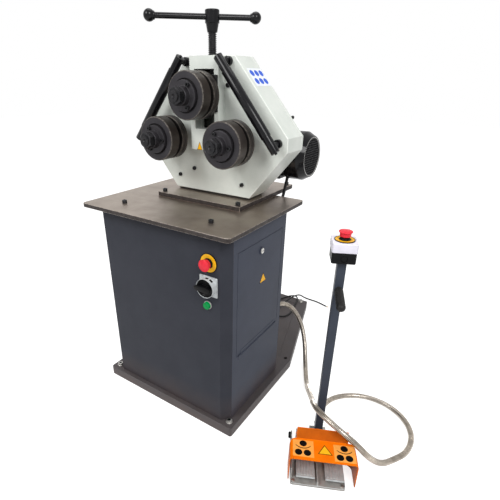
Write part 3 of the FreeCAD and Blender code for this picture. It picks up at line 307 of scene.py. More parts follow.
orange_peel, given, out = effect("orange_peel", [("Per metre", "value", 500.0)], [("Height", "value")])
fine = noise_node(orange_peel, given.outputs["Per metre"], 2, 0.5)
wider = math_node(orange_peel, "MULTIPLY", given.outputs["Per metre"], 0.3)
coarse = noise_node(orange_peel, wider, 1, 0.5)
orange_peel.links.new(math_node(orange_peel, "ADD", fine, coarse), out.inputs["Height"])
print("paint effects", patches.name, orange_peel.name)

# %% [markdown]
# A grinder leaves long straight scratches, so `ground_lines` is noise stretched along X. A lathe
# leaves rings, so `turned_lines` measures how far a point lies from the axis and feeds that distance
# to a one-dimensional noise: each distance gets its own height, and the rings come out perfectly
# round about any centre.

# %% Ground and turned lines
ground_lines, given, out = effect("ground_lines", [("Per metre", "value", 1.0)],
                                  [("Height", "value"), ("Mask", "value")])
long_lines = noise_node(ground_lines, given.outputs["Per metre"], 5, 0.7, (6, 380, 380))
short_lines = noise_node(ground_lines, given.outputs["Per metre"], 3, 0.6, (30, 1400, 1400))
lines = math_node(ground_lines, "MULTIPLY_ADD", short_lines, 0.4, long_lines)
ground_lines.links.new(lines, out.inputs["Height"])
ground_lines.links.new(range_node(ground_lines, lines, 0.5, 0.9), out.inputs["Mask"])

turned_lines, given, out = effect(
    "turned_lines",
    [("Centre", "vector", (0, 0, 0)), ("Across", "vector", (1, 0, 1)), ("Pitch", "value", 0.0012)],
    [("Height", "value"), ("Mask", "value")])
offset = vector_node(turned_lines, "SUBTRACT", own_place(turned_lines), given.outputs["Centre"])
flat = vector_node(turned_lines, "MULTIPLY", offset.outputs[0], given.outputs["Across"])
reach = vector_node(turned_lines, "LENGTH", flat.outputs[0])
ring_noise = turned_lines.nodes.new("ShaderNodeTexNoise")
ring_noise.noise_dimensions = "1D"
ring_noise.inputs["Scale"].default_value = 1
ring_noise.inputs["Detail"].default_value = 3
ring_number = math_node(turned_lines, "DIVIDE", reach.outputs["Value"], given.outputs["Pitch"])
turned_lines.links.new(ring_number, ring_noise.inputs["W"])
turned_lines.links.new(ring_noise.outputs["Fac"], out.inputs["Height"])
turned_lines.links.new(range_node(turned_lines, ring_noise.outputs["Fac"], 0.35, 0.7), out.inputs["Mask"])
print("line effects", ground_lines.name, turned_lines.name)

# %% [markdown]
# Dust and splashes gather near the floor. `floor_dirt` fades upward with height and is broken up by
# noise, because a clean gradient would look airbrushed. `scuffs` keeps only the peaks of a rough
# noise, which leaves thin scattered marks.

# %% Dirt and scuffs
floor_dirt, given, out = effect("floor_dirt", [("Top", "value", 0.15)], [("Mask", "value")])
parts = floor_dirt.nodes.new("ShaderNodeSeparateXYZ")
floor_dirt.links.new(own_place(floor_dirt), parts.inputs[0])
share = math_node(floor_dirt, "DIVIDE", parts.outputs["Z"], given.outputs["Top"])
fade = range_node(floor_dirt, math_node(floor_dirt, "SUBTRACT", 1.0, share), 0.0, 1.0)
speckles = range_node(floor_dirt, noise_node(floor_dirt, 14, 5), 0.3, 0.7, 0.4, 1)
floor_dirt.links.new(math_node(floor_dirt, "MULTIPLY", fade, speckles), out.inputs["Mask"])

scuffs, given, out = effect("scuffs", [("Per metre", "value", 30.0), ("Amount", "value", 0.5)],
                            [("Mask", "value")])
peaks = range_node(scuffs, noise_node(scuffs, given.outputs["Per metre"], 6, 0.75, (1, 1, 5)), 0.63, 0.72)
scuffs.links.new(math_node(scuffs, "MULTIPLY", peaks, given.outputs["Amount"]), out.inputs["Mask"])
print("effects", [group.name for group in bpy.data.node_groups])

# %% [markdown]
# A material is a Principled shader with effects plugged into it. The `Finish` class remembers the
# last colour and the last bump, so each call lays one more coat over what is already there, in the
# order in which a painter would do it.


# %% Finish maker
class Finish:
    """A material with one Principled shader and the effects that feed it."""

    def __init__(self, name, colour, rough, metal=0.0, spec=0.5):
        self.material = bpy.data.materials.new(name)
        self.material.use_nodes = True
        self.tree = self.material.node_tree
        self.shader = self.tree.nodes["Principled BSDF"]
        for label, value in (("Base Color", (*colour, 1)), ("Roughness", rough), ("Metallic", metal),
                             ("Specular IOR Level", spec)):
            self.shader.inputs[label].default_value = value

    def put(self, group, **values):
        """Place an effect in the material with its own values."""
        node = self.tree.nodes.new("ShaderNodeGroup")
        node.node_tree = group
        for label, value in values.items():
            socket = node.inputs[label.replace("_", " ")]
            socket.default_value = (*value, 1) if socket.type == "RGBA" else value
        return node

    def colour(self, socket):
        """Take the colour from a socket."""
        self.tree.links.new(socket, self.shader.inputs["Base Color"])
        self.shown = socket
        return self

    def patchy(self, first, second, per_metre):
        """Let the colour drift between two tones."""
        drift = self.put(patches, First=first, Second=second, Per_metre=per_metre)
        self.drift = drift.outputs["Mask"]
        return self.colour(drift.outputs["Colour"])

    def over(self, mask, tint):
        """Lay a tint over the colour so far, where the mask is."""
        return self.colour(mix_node(self.tree, mask, self.shown, tint))

    def rough(self, mask, low, high):
        """Let the roughness follow a mask."""
        self.tree.links.new(range_node(self.tree, mask, 0, 1, low, high), self.shader.inputs["Roughness"])
        return self

    def bump(self, height, strength, depth):
        """Raise the skin by a height map, and hand over the finished material."""
        node = self.tree.nodes.new("ShaderNodeBump")
        node.inputs["Strength"].default_value = strength
        node.inputs["Distance"].default_value = depth
        self.tree.links.new(height, node.inputs["Height"])
        self.tree.links.new(node.outputs["Normal"], self.shader.inputs["Normal"])
        return self.material

    def peel(self, per_metre, strength, depth):
        """Give the skin a sprayed or moulded texture, and hand over the finished material."""
        return self.bump(self.put(orange_peel, Per_metre=per_metre).outputs["Height"], strength, depth)


print("finish maker ready")

# %% [markdown]
# Powder-coated sheet metal has a fine pebbled skin and is a little dusty and scraped low down. The
# cabinet, its front, the floor frame and the post share one recipe with different colours. The front
# sheet turns away from the light, so it takes darker, greyer colours: painted shade.


# %% Powder coats
def powder_coat(name, base, second, dirt, dirt_top, rough=0.42, spec=0.07):
    """Two tones of powder, dust up to a height in metres, and a few rubbed spots."""
    paint = Finish(name, base, rough, spec=spec).patchy(base, second, 9)
    paint.over(paint.put(floor_dirt, Top=dirt_top).outputs["Mask"], dirt)
    rub = paint.put(scuffs, Per_metre=26.0, Amount=0.25)
    paint.over(rub.outputs["Mask"], tuple(1.8 * c for c in base))
    return paint.rough(rub.outputs["Mask"], rough, rough + 0.25).peel(650.0, 0.16, 0.0004)


DUST = (0.095, 0.070, 0.064)
cabinet_paint = powder_coat("cabinet_paint", (0.050, 0.057, 0.080), (0.044, 0.050, 0.070), DUST, 0.14)
# The front sheet's darker, greyer colours are painted shade.
front_paint_shaded = powder_coat("front_paint_shaded", (0.036, 0.038, 0.048), (0.031, 0.033, 0.042),
                          (0.075, 0.056, 0.052), 0.14)
base_paint = powder_coat("base_paint", (0.062, 0.058, 0.062), (0.052, 0.048, 0.050), DUST, 0.06, 0.5, 0.25)
post_paint = powder_coat("post_paint", (0.044, 0.052, 0.072), (0.038, 0.045, 0.060),
                         (0.05, 0.042, 0.045), 0.1, 0.36, 0.12)
print("powder coats", len(bpy.data.materials))

# %% [markdown]
# The head is filled, rubbed down and sprayed with pale enamel. Its slide column is painted straight
# over the rough casting, so the same recipe gets a coarser and stronger skin there. The foot guard
# is orange enamel. Its upright faces stand in the shade of their own fold and take a deeper orange.


# %% Enamels
def casting_paint(name, per_metre, strength):
    """Pale enamel sprayed over a rubbed-down casting."""
    paint = Finish(name, (0.66, 0.69, 0.64), 0.4, spec=0.3)
    paint.patchy((0.66, 0.69, 0.645), (0.60, 0.635, 0.59), 16)
    rub = paint.put(scuffs, Per_metre=40.0, Amount=0.12)
    paint.over(rub.outputs["Mask"], (0.40, 0.41, 0.38))
    return paint.rough(rub.outputs["Mask"], 0.38, 0.6).peel(per_metre, strength, 0.0006)


def guard_paint(name, fresh, dull):
    """Orange enamel in two tones, dirty at the floor."""
    paint = Finish(name, fresh, 0.42, spec=0.08).patchy(fresh, dull, 30)
    paint.over(paint.put(floor_dirt, Top=0.03).outputs["Mask"], (0.30, 0.075, 0.005))
    return paint.peel(420.0, 0.12, 0.0004)


head_paint = casting_paint("head_paint", 260.0, 0.14)
column_paint = casting_paint("column_paint", 520.0, 0.5)
orange_paint = guard_paint("orange_paint", (0.88, 0.18, 0.0), (0.80, 0.15, 0.0))
orange_shade = guard_paint("orange_shade", (0.50, 0.105, 0.004), (0.42, 0.085, 0.004))
print("enamels", len(bpy.data.materials))

# %% [markdown]
# The table and head plate are ground steel under a film of oil: long grinder lines one way, brown
# patches where the oil is thicker, and bright worn edges. The rolls are black-oxide steel turned on
# a lathe, so their lines run in circles about each roll's own centre. That is why every roll needs a
# face and a rim finish of its own.

# %% Steel of the table and rolls
oiled = Finish("oiled_steel", (0.26, 0.22, 0.18), 0.36, metal=0.95)
oiled.patchy((0.36, 0.30, 0.245), (0.25, 0.195, 0.155), 11)
grain = oiled.put(ground_lines)
worn = math_node(oiled.tree, "MULTIPLY", grain.outputs["Mask"], 0.45)
oiled.over(worn, (0.40, 0.355, 0.32)).rough(grain.outputs["Mask"], 0.3, 0.46)
oiled_steel = oiled.bump(grain.outputs["Height"], 0.25, 0.0002)

ROLL_CENTRES = {"top": (19, 1049), "left": (-106.6, 920.5), "right": (144.6, 920.5)}


def roll_finish(name, centre, first, second, lathe_mark, mark_amount):
    """Oxide-black steel with turned rings about a roll's own centre, given as x and z."""
    metal = Finish(name, first, 0.42, metal=0.5, spec=0.3).patchy(first, second, 25)
    cut = metal.put(turned_lines, Centre=(centre[0] * MM, 0, centre[1] * MM), Pitch=0.0011)
    metal.over(math_node(metal.tree, "MULTIPLY", cut.outputs["Mask"], mark_amount), lathe_mark)
    return metal.rough(cut.outputs["Mask"], 0.36, 0.5).bump(cut.outputs["Height"], 0.3, 0.0003)


face_finish = {}
rim_finish = {}
for where, centre in ROLL_CENTRES.items():
    face_finish[where] = roll_finish("roll_face_" + where, centre, (0.030, 0.028, 0.032),
                                     (0.021, 0.019, 0.022), (0.065, 0.062, 0.066), 0.3)
    rim_finish[where] = roll_finish("roll_rim_" + where, centre, (0.044, 0.034, 0.029),
                                    (0.026, 0.021, 0.019), (0.085, 0.062, 0.050), 0.25)
print("steels", len(bpy.data.materials))

# %% [markdown]
# All other finishes need only two close tones and a fine skin, so one recipe serves them. Its
# numbers say how many patches and how many grains there are to the metre, how rough and how
# metallic the surface is, and how strongly it shines. Blacks shine little, because the studio around
# the machine is white and would turn them grey.


# %% Blacks and worn edges
def simple_finish(name, first, second, per_metre, rough, metal=0.0, spec=0.5, grains=900.0, strength=0.12,
                  depth=0.0003):
    """Two close tones in patches, with a fine skin."""
    made = Finish(name, first, rough, metal, spec).patchy(first, second, per_metre)
    return made.rough(made.drift, rough, rough + 0.12).peel(grains, strength, depth)


# The paler paint on the head's rounded edges is a painted highlight.
edge_highlight_paint = simple_finish("edge_highlight_paint", (0.76, 0.78, 0.74), (0.68, 0.71, 0.66), 60, 0.38, 0, 0.3)
worn_edge = simple_finish("worn_edge", (0.46, 0.41, 0.37), (0.16, 0.125, 0.10), 130, 0.34, 1.0, strength=0.3)
plate_side = simple_finish("plate_side", (0.050, 0.041, 0.038), (0.030, 0.025, 0.024), 70, 0.5, 0.5, 0.3,
                           500, 0.4)
rim_wear = simple_finish("rim_wear", (0.13, 0.115, 0.10), (0.032, 0.028, 0.026), 170, 0.42, 0.5, 0.4,
                         1100, 0.2)
groove_black = simple_finish("groove_black", (0.006, 0.005, 0.005), (0.010, 0.009, 0.008), 60, 0.5, 0.2, 0.2)
black_oxide = simple_finish("black_oxide", (0.016, 0.016, 0.018), (0.030, 0.029, 0.031), 60, 0.24, 0.6, 0.3)
gloss_black = simple_finish("gloss_black", (0.003, 0.003, 0.004), (0.006, 0.006, 0.007), 25, 0.12, 0.0, 0.2,
                            60, 0.02)
dark_casting = simple_finish("dark_casting", (0.006, 0.006, 0.007), (0.012, 0.011, 0.012), 40, 0.34, 0.0, 0.3,
                             330, 0.25)
grille_wire = simple_finish("grille_wire", (0.030, 0.030, 0.033), (0.015, 0.015, 0.016), 90, 0.3, 0.3, 0.2)
print("dark finishes", len(bpy.data.materials))

# %% [markdown]
# Bare metals take their colour from their reflections, so their metallic value is high and their
# base colour is that of the metal. The treadles are rough aluminium castings, which scatter light
# almost like paint.

# %% Bare metals
zinc_steel = simple_finish("zinc_steel", (0.60, 0.59, 0.56), (0.40, 0.39, 0.38), 120, 0.28, 1.0)
bright_steel = simple_finish("bright_steel", (0.72, 0.72, 0.73), (0.55, 0.55, 0.56), 150, 0.2, 1.0)
hose_metal = simple_finish("hose_metal", (0.56, 0.51, 0.45), (0.38, 0.34, 0.29), 40, 0.26, 1.0)
# The darker metal of the conduit's groove floors is painted shade.
hose_groove_shade = simple_finish("hose_groove_shade", (0.16, 0.13, 0.11), (0.09, 0.075, 0.062), 60, 0.5, 0.5)
cast_aluminium = simple_finish("cast_aluminium", (0.50, 0.525, 0.53), (0.40, 0.42, 0.42), 55, 0.46, 0.3, 0.5,
                               420, 0.4)
base_casting = simple_finish("base_casting", (0.36, 0.345, 0.325), (0.26, 0.25, 0.235), 45, 0.46, 0.4, 0.4,
                             420, 0.4)
copper = simple_finish("bare_copper", (0.80, 0.40, 0.22), (0.66, 0.32, 0.18), 300, 0.3, 1.0)
print("metals", len(bpy.data.materials))

# %% [markdown]
# Moulded plastic has a very fine grain, rubber a coarser and deeper one. The lamp's cap glows a
# little by itself, because light that passes through a green lens reaches the eye from inside.

# %% Plastics and rubber
black_plastic = simple_finish("black_plastic", (0.003, 0.003, 0.004), (0.006, 0.006, 0.006), 50, 0.3, 0, 0.1,
                              1500, 0.1)
red_plastic = simple_finish("red_plastic", (0.72, 0.024, 0.045), (0.62, 0.018, 0.036), 60, 0.34, 0, 0.22,
                            700, 0.05)
amber_plastic = simple_finish("amber_plastic", (0.86, 0.47, 0.012), (0.78, 0.41, 0.010), 70, 0.4, 0, 0.25,
                              900, 0.08)
pale_plastic = simple_finish("pale_plastic", (0.74, 0.72, 0.80), (0.68, 0.66, 0.74), 40, 0.38, 0, 0.3,
                             1200, 0.1)
grey_plastic = simple_finish("grey_plastic", (0.50, 0.53, 0.54), (0.44, 0.46, 0.47), 50, 0.4, 0, 0.3,
                             1200, 0.1)
rubber = simple_finish("grip_rubber", (0.006, 0.006, 0.006), (0.011, 0.010, 0.010), 70, 0.42, 0, 0.22,
                       420, 0.5, 0.0006)
cable_rubber = simple_finish("cable_rubber", (0.008, 0.008, 0.009), (0.014, 0.014, 0.014), 80, 0.5, 0, 0.3,
                             900, 0.2)
lens = Finish("green_lens", (0.0, 0.22, 0.045), 0.3, spec=0.12)
lens.patchy((0.0, 0.23, 0.05), (0.0, 0.16, 0.034), 120)
lens.shader.inputs["Emission Color"].default_value = (0.0, 0.40, 0.10, 1)
lens.shader.inputs["Emission Strength"].default_value = 0.12
green_lens = lens.peel(500.0, 0.08, 0.0004)
print("plastics", len(bpy.data.materials))

# %% [markdown]
# Signs are printed on thin film, so they share one smooth skin. The three wires of the mains lead
# have the usual colours. The third one is striped green and yellow on the real lead; on so thin a
# wire, patches of the two colours read the same.

# %% Films and wires
sign_orange = simple_finish("sign_orange", (0.88, 0.36, 0.065), (0.82, 0.32, 0.055), 80, 0.4, 0, 0.2,
                            600, 0.05)
sign_white = simple_finish("sign_white", (0.80, 0.82, 0.87), (0.74, 0.765, 0.82), 60, 0.36, 0, 0.2, 600, 0.05)
sign_blue = simple_finish("sign_blue", (0.016, 0.085, 0.56), (0.026, 0.12, 0.64), 90, 0.36, 0, 0.2, 600, 0.05)
sign_amber = simple_finish("sign_amber", (0.90, 0.46, 0.008), (0.84, 0.42, 0.006), 90, 0.4, 0, 0.2, 600, 0.05)
sign_black = simple_finish("sign_black", (0.003, 0.003, 0.003), (0.006, 0.005, 0.005), 90, 0.6, 0, 0.03,
                           600, 0.05)
wire_brown = simple_finish("wire_brown", (0.12, 0.045, 0.020), (0.09, 0.034, 0.016), 200, 0.45)
wire_blue = simple_finish("wire_blue", (0.015, 0.08, 0.38), (0.012, 0.06, 0.30), 200, 0.45)
wire_green = simple_finish("wire_green", (0.10, 0.33, 0.03), (0.60, 0.52, 0.03), 260, 0.45)
print("finishes", len(bpy.data.materials))

# %% [markdown]
# ## Shop tools
# Most new pieces are turned. `drawn_line` sets down an outline point by point, the way one would
# extrude vertices by hand, and `lathe` spins it about an axis. Meshes could also be written as lists
# of vertices and faces, but the operators keep the faces joined and turned outward.


# %% Lines and turned pieces
def drawn_line(points):
    """A chain of vertices through points given in mm; leaves the piece in edit mode."""
    bpy.ops.object.select_all(action="DESELECT")
    bpy.ops.mesh.primitive_plane_add(size=MM, location=(0, 0, 0))
    piece = bpy.context.object
    bpy.ops.object.mode_set(mode="EDIT")
    bpy.ops.mesh.merge(type="CENTER")
    bpy.ops.transform.translate(value=Vector(points[0]) * MM)
    for here, there in zip(points, points[1:]):
        step = (Vector(there) - Vector(here)) * MM
        bpy.ops.mesh.extrude_region_move(TRANSFORM_OT_translate={"value": step})
    bpy.ops.mesh.select_all(action="SELECT")
    return piece


def closed_up():
    """Merge, face outward and leave edit mode."""
    bpy.ops.mesh.select_all(action="SELECT")
    bpy.ops.mesh.remove_doubles(threshold=0.000002)
    bpy.ops.mesh.normals_make_consistent(inside=False)
    bpy.ops.object.mode_set(mode="OBJECT")


def stand(piece, at, axis=(0, 0, 1)):
    """Turn a piece's own +Z onto an axis and move it to a point in mm."""
    piece.rotation_mode = "QUATERNION"
    piece.rotation_quaternion = Vector((0, 0, 1)).rotation_difference(Vector(axis))
    piece.location = Vector(at) * MM
    return piece


def lathe(outline, at=(0, 0, 0), axis=(0, 0, 1), slices=64):
    """Spin an outline of (radius, height) in mm about an axis through a point."""
    piece = drawn_line([(r, 0, z) for r, z in outline])
    bpy.ops.mesh.spin(steps=slices, angle=2 * math.pi, center=(0, 0, 0), axis=(0, 0, 1))
    closed_up()
    return stand(piece, at, axis)


print("turning tools ready")

# %% [markdown]
# A hexagon nut is turned before it is milled, which is why its corners are rounded off at the ends.
# The same order works here: a turned blank is cut by a six-sided prism. The cut is a Boolean, which
# needs closed solids on both sides.


# %% Cutting and nuts
def carve(piece, tool, operation="DIFFERENCE"):
    """Cut with a solid, or keep only what both share, then drop the tool."""
    change = piece.modifiers.new("carve", "BOOLEAN")
    change.object, change.operation, change.solver = tool, operation, "EXACT"
    apply_all(piece)
    bpy.data.objects.remove(tool)
    return piece


def hexagon_nut(radius, height):
    """Hexagon nut whose corners are turned away at both ends."""
    cut = 0.14 * radius
    blank = lathe([(0, 0), (radius - cut, 0), (radius + 0.3, 0.7 * cut), (radius + 0.3, height - 0.7 * cut),
                   (radius - cut, height), (0, height)])
    bpy.ops.mesh.primitive_cylinder_add(vertices=6, radius=radius * MM, depth=2 * height * MM)
    return carve(blank, bpy.context.object, "INTERSECT")


print("nut maker ready")

# %% [markdown]
# ## The conduit
# The hose to the foot unit is a spiral-wound steel conduit. One turn of its strip is modelled as a
# short ring with a raised lip, an Array repeats it for the whole length, and a Curve modifier lays
# the row of turns along the route. A plain tube with a bump map would be lighter, but its outline
# would stay smooth where the real one is ribbed. The bottom of each groove is painted darker: painted shade
# in the crease.

# %% Conduit
HOSE_R, HOSE_PITCH = 9.2, 3.8
STRIP_OUTLINE = [(0.84, 0.0), (0.84, 0.26), (1.0, 0.36), (1.0, 0.88), (0.84, 1.0)]
GROOVE_SHARE = 0.3
hose_line = route_curve("hose_line", HOSE_ROUTE, 0)
hose_points = line_points(hose_line)
hose_length = length_of(hose_points)
turns_needed = int(hose_length / (HOSE_PITCH * MM))
hose = drawn_line([(HOSE_PITCH * z, 0, HOSE_R * r) for r, z in STRIP_OUTLINE])
bpy.ops.mesh.spin(steps=20, angle=2 * math.pi, center=(0, 0, 0), axis=(1, 0, 0))
closed_up()
hose.data.materials.append(hose_metal)
hose.data.materials.append(hose_groove_shade)
# Faces at the bottom of each groove take the painted shade.
for face in hose.data.polygons:
    face.material_index = 1 if face.center.x < HOSE_PITCH * GROOVE_SHARE * MM else 0
row = hose.modifiers.new("turns", "ARRAY")
row.count = turns_needed
row.use_relative_offset, row.use_constant_offset = False, True
row.constant_offset_displace = (hose_length / turns_needed, 0, 0)
row.use_merge_vertices, row.merge_threshold = True, 0.0002
lay = hose.modifiers.new("lay", "CURVE")
lay.object, lay.deform_axis = hose_line, "POS_X"
apply_all(hose)
bpy.data.objects.remove(hose_line)
settle(hose, "conduit_hose", "machine", "hose_metal", smooth=50)
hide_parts("control_hose")
[c * MM for c in HOSE_ROUTE[0]]
print("conduit", round(hose_length, 3), "turns", turns_needed, "faces", len(hose.data.polygons))

# %% [markdown]
# Where the conduit leaves the cabinet's back sheet it is held by a hexagon nut and a turned ferrule.
# Both lean a little with the hose, so that it runs out of their middle.

# %% Conduit fitting
HOSE_AIM = (0, 1, 0.07)
conduit_nut = stand(hexagon_nut(16, 9), (205, 175.5, 266), HOSE_AIM)
settle(conduit_nut, "conduit_nut", "machine", "zinc_steel", zinc_steel)
ferrule = lathe([(9.7, 0), (13, 0), (13, 15), (12, 17), (10.6, 20), (9.7, 20), (9.7, 0)],
                (205, 175.6, 266), HOSE_AIM)
settle(ferrule, "conduit_ferrule", "machine", "zinc_steel", zinc_steel)
print("fitting faces", len(conduit_nut.data.polygons) + len(ferrule.data.polygons))

# %% [markdown]
# ## The two cables
# The motor's cable and the mains lead are plain round rubber, so their curves keep their own
# thickness and need no mesh. The drawn length is printed, so that it can be held against the length
# that is stated for the cord.

# %% Cables
for name, route, radius, node_name, real, end, limp in (
        ("motor_lead", MOTOR_ROUTE, 5.5, "motor_cable", 0.229, "object", "medium"),
        ("mains_cable", MAINS_ROUTE, 3.5, "mains_lead", 1.325, "bare", "limp")):
    lead = route_curve(name, route, radius)
    lead.data.materials.append(cable_rubber)
    measured = length_of(line_points(lead))
    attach(lead, "machine")
    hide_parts(node_name)
    [c * MM for c in route[0]]
    print(name, "measured", round(measured, 3))

# %% [markdown]
# The mains lead leaves the cabinet through a soft tapered sleeve and ends in three stripped wires,
# as on a machine that is delivered without a plug. The sleeve's ribs are steps in one turned
# outline. Each wire is turned too, and the faces past the end of its coat take the copper finish.

# %% Lead ends
STRIPPED_FROM = 11.1
SLEEVE_OUTLINE = [
    (3.55, 0), (9, 0), (9, 3.5), (6.8, 4.5), (6.4, 9), (6.9, 9.6), (6.1, 10.2), (5.9, 14), (6.4, 14.6),
    (5.6, 15.2), (5.3, 22), (4.9, 24), (3.55, 24), (3.55, 0),
]
WIRE_OUTLINE = [(0, -2), (1.15, -2), (1.15, 11), (0.75, 11.4), (0.75, 16.5), (0, 16.8)]
sleeve = lathe(SLEEVE_OUTLINE, (-40, 175.6, 92), (-1, 45.6, -6))
settle(sleeve, "mains_sleeve", "machine", "cable_rubber", rubber)
for name, paint, turn, lift in (("wire_brown", wire_brown, -0.30, 0.10),
                                ("wire_blue", wire_blue, 0.02, -0.04),
                                ("wire_green", wire_green, 0.34, 0.06)):
    aim = Vector((math.cos(turn - 0.31), math.sin(turn - 0.31), lift))
    wire = lathe(WIRE_OUTLINE, MAINS_ROUTE[-1], aim, 16)
    wire.data.materials.append(paint)
    wire.data.materials.append(copper)
    for face in wire.data.polygons:
        face.material_index = 1 if face.center.z > STRIPPED_FROM * MM else 0
    settle(wire, name, "machine", "cable_rubber")
print("sleeve faces", len(sleeve.data.polygons))

# %% [markdown]
# ## Copies and joins
# Many pieces are copied to several places, or built from parts that become one. A copy gets a mesh
# of its own, because Blender can't move the places of two objects into one shared mesh.


# %% Copy and join
def twin(piece, matrix=None):
    """A copy with a mesh of its own, placed by a matrix."""
    copy = bpy.data.objects.new(piece.name, piece.data.copy())
    bpy.context.scene.collection.objects.link(copy)
    copy.matrix_world = piece.matrix_world.copy() if matrix is None else matrix
    return copy


def joined(pieces):
    """Join pieces into one whose own place is the origin."""
    pick(*pieces)
    if len(pieces) > 1:
        bpy.ops.object.join()
    bpy.ops.object.transform_apply(location=True, rotation=True, scale=True)
    return bpy.context.object


print("joining tools ready")

# %% [markdown]
# ## Dressing the CAD solids
# Sheet metal, castings and machined blocks already have the right shape in the CAD model, but their
# edges are knife sharp. A copy of the node's mesh is merged, its flat faces are joined, and a Bevel
# modifier rounds the sharp edges only. The rounded strip can take a finish of its own, which is how
# the worn bright edges of the table are made. Weighted normals keep the wide faces flat in the
# light. Turned pieces are many-sided, so their facets aren't joined and their shading isn't levelled.


# %% Dress
def level_normals(piece):
    """Let the widest faces decide the shading at every smooth corner."""
    level = piece.modifiers.new("level", "WEIGHTED_NORMAL")
    level.keep_sharp, level.weight = True, 100
    apply_all(piece)


def dressed(name, node, body, slot, finish, round_mm, edge=None, upright=None, turned=False):
    """Copy a CAD node and round its sharp edges; edges and upright faces may take another finish."""
    piece = joined([twin(cad[node], Matrix())])
    piece.data.materials.clear()
    for paint in (finish, edge or finish, upright or finish):
        piece.data.materials.append(paint)
    bpy.ops.object.mode_set(mode="EDIT")
    bpy.ops.mesh.select_all(action="SELECT")
    bpy.ops.mesh.remove_doubles(threshold=0.000004)
    bpy.ops.mesh.dissolve_limited(angle_limit=math.radians(0.02 if turned else 0.6))
    bpy.ops.object.mode_set(mode="OBJECT")
    for face in piece.data.polygons:
        face.material_index = 2 if abs(face.normal.z) < 0.5 else 0
    soften = piece.modifiers.new("soften", "BEVEL")
    soften.width, soften.segments, soften.material = round_mm * MM, 2, 1
    soften.limit_method, soften.angle_limit = "ANGLE", math.radians(32)
    soften.use_clamp_overlap = turned
    apply_all(piece)
    settle(piece, name, body, slot, smooth=35)
    if not turned:
        level_normals(piece)
    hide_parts(node)
    return piece


def dress_all(rows):
    """Dress a table of nodes; each row ends with the bevel in mm and the extra finishes."""
    for name, node, body, slot, finish, round_mm, extras in rows:
        made = dressed(name, node, body, slot, finish, round_mm, **extras)
        print(name, len(made.data.polygons))


print("CAD nodes", len(cad))

# %% [markdown]
# ## Floor frame and cabinet
# The cabinet is folded from thin sheet, so its bevels are only as wide as a fold's own radius. The
# floor frame is heavier section and gets a wider one. The side door rides on its own body and the
# quarter-turn lock on another, so both can move.

# %% Floor frame and cabinet
PLAIN = {}
dress_all([
    ("floor_frame", "base_frame", "machine", "base_paint", base_paint, 1.6, PLAIN),
    ("front_sheet", "cabinet_front", "machine", "cabinet_paint", front_paint_shaded, 0.5, PLAIN),
    ("left_sheet", "cabinet_left", "machine", "cabinet_paint", cabinet_paint, 0.4, PLAIN),
    ("back_sheet", "cabinet_back", "machine", "cabinet_paint", cabinet_paint, 0.4, PLAIN),
    ("right_sheet", "cabinet_right", "machine", "cabinet_paint", cabinet_paint, 0.4, PLAIN),
    ("side_door", "door_panel", "door", "cabinet_paint", cabinet_paint, 0.4, PLAIN),
    ("door_strip_hinge", "door_hinge", "machine", "cabinet_paint", cabinet_paint, 0.2, PLAIN),
    ("quarter_turn_lock", "door_lock", "lock", "zinc_steel", zinc_steel, 0.5, PLAIN),
])

# %% [markdown]
# ## Table, head and guard
# The table and the plate under the head are thick ground steel, so their bevels are wide and take
# the worn finish, while their upright sides stay dark. The head is one casting with a bolted cover;
# filler and paint hide the joint, and its rounded edges take a paler paint, a painted highlight. The
# guard bars, their posts and sleeves are turned from bar.

# %% Table, head and guard
TURNED = {"turned": True}
GROUND = {"edge": worn_edge, "upright": plate_side}
ENAMEL = {"edge": edge_highlight_paint}
dress_all([
    ("work_table", "table_top", "machine", "oiled_steel", oiled_steel, 0.9, GROUND),
    ("head_base_plate", "head_plate", "machine", "oiled_steel", oiled_steel, 1.0, GROUND),
    ("head_foot", "head_spacer", "machine", "dark_casting", dark_casting, 0.5, PLAIN),
    ("head_housing", "head_casting", "machine", "head_paint", head_paint, 2.2, ENAMEL),
    ("head_back_cover", "head_cover", "machine", "head_paint", head_paint, 1.2, ENAMEL),
    ("slide_column", "guide_column", "machine", "head_paint", column_paint, 1.6, ENAMEL),
    ("slide_block", "carriage", "carriage", "dark_casting", dark_casting, 1.0, PLAIN),
    ("guard_bars", "guard_rods", "machine", "gloss_black_metal", gloss_black, 0.9, TURNED),
    ("guard_standoffs", "guard_posts", "machine", "gloss_black_metal", gloss_black, 1.6, TURNED),
    ("left_guard_sleeve", "sleeve_left", "left_sleeve", "gloss_black_metal", gloss_black, 0.5, TURNED),
    ("right_guard_sleeve", "sleeve_right", "right_sleeve", "gloss_black_metal", gloss_black, 0.5, TURNED),
    ("lifting_eye", "eye_bracket", "machine", "zinc_steel", dark_casting, 0.4, TURNED),
    ("gear_case", "gearbox", "machine", "gloss_black_metal", dark_casting, 4.0, PLAIN),
    ("motor_shell", "motor_body", "machine", "gloss_black_metal", gloss_black, 1.2, TURNED),
])

# %% [markdown]
# A cap screw is a turned head with a six-sided hole. One is modelled for each size and then copied
# to all its places, so that every screw of a set is the same.


# %% Cap screws
def socket_screw(radius, height):
    """Cap screw with a rounded rim and a hexagon socket."""
    rim = 0.14 * radius
    screw = lathe([(0, 0), (radius, 0), (radius, height - rim), (radius - 0.3 * rim, height - 0.3 * rim),
                   (radius - rim, height), (0, height)], slices=40)
    bpy.ops.mesh.primitive_cylinder_add(vertices=6, radius=0.52 * radius * MM, depth=height * MM,
                                        location=(0, 0, height * 0.95 * MM))
    return carve(screw, bpy.context.object)


def screw_set(radius, height, places):
    """One screw, modelled once and copied to every (point, axis)."""
    first = socket_screw(radius, height)
    copies = [stand(twin(first), at, axis) for at, axis in places]
    bpy.data.objects.remove(first)
    return joined(copies)


print("screw maker ready")

# %% [markdown]
# Cap screws stand on the table, on the plate under the head and on the head's face. The CAD screws
# could be dressed like the castings, but new ones get a rounder rim and a deeper socket.

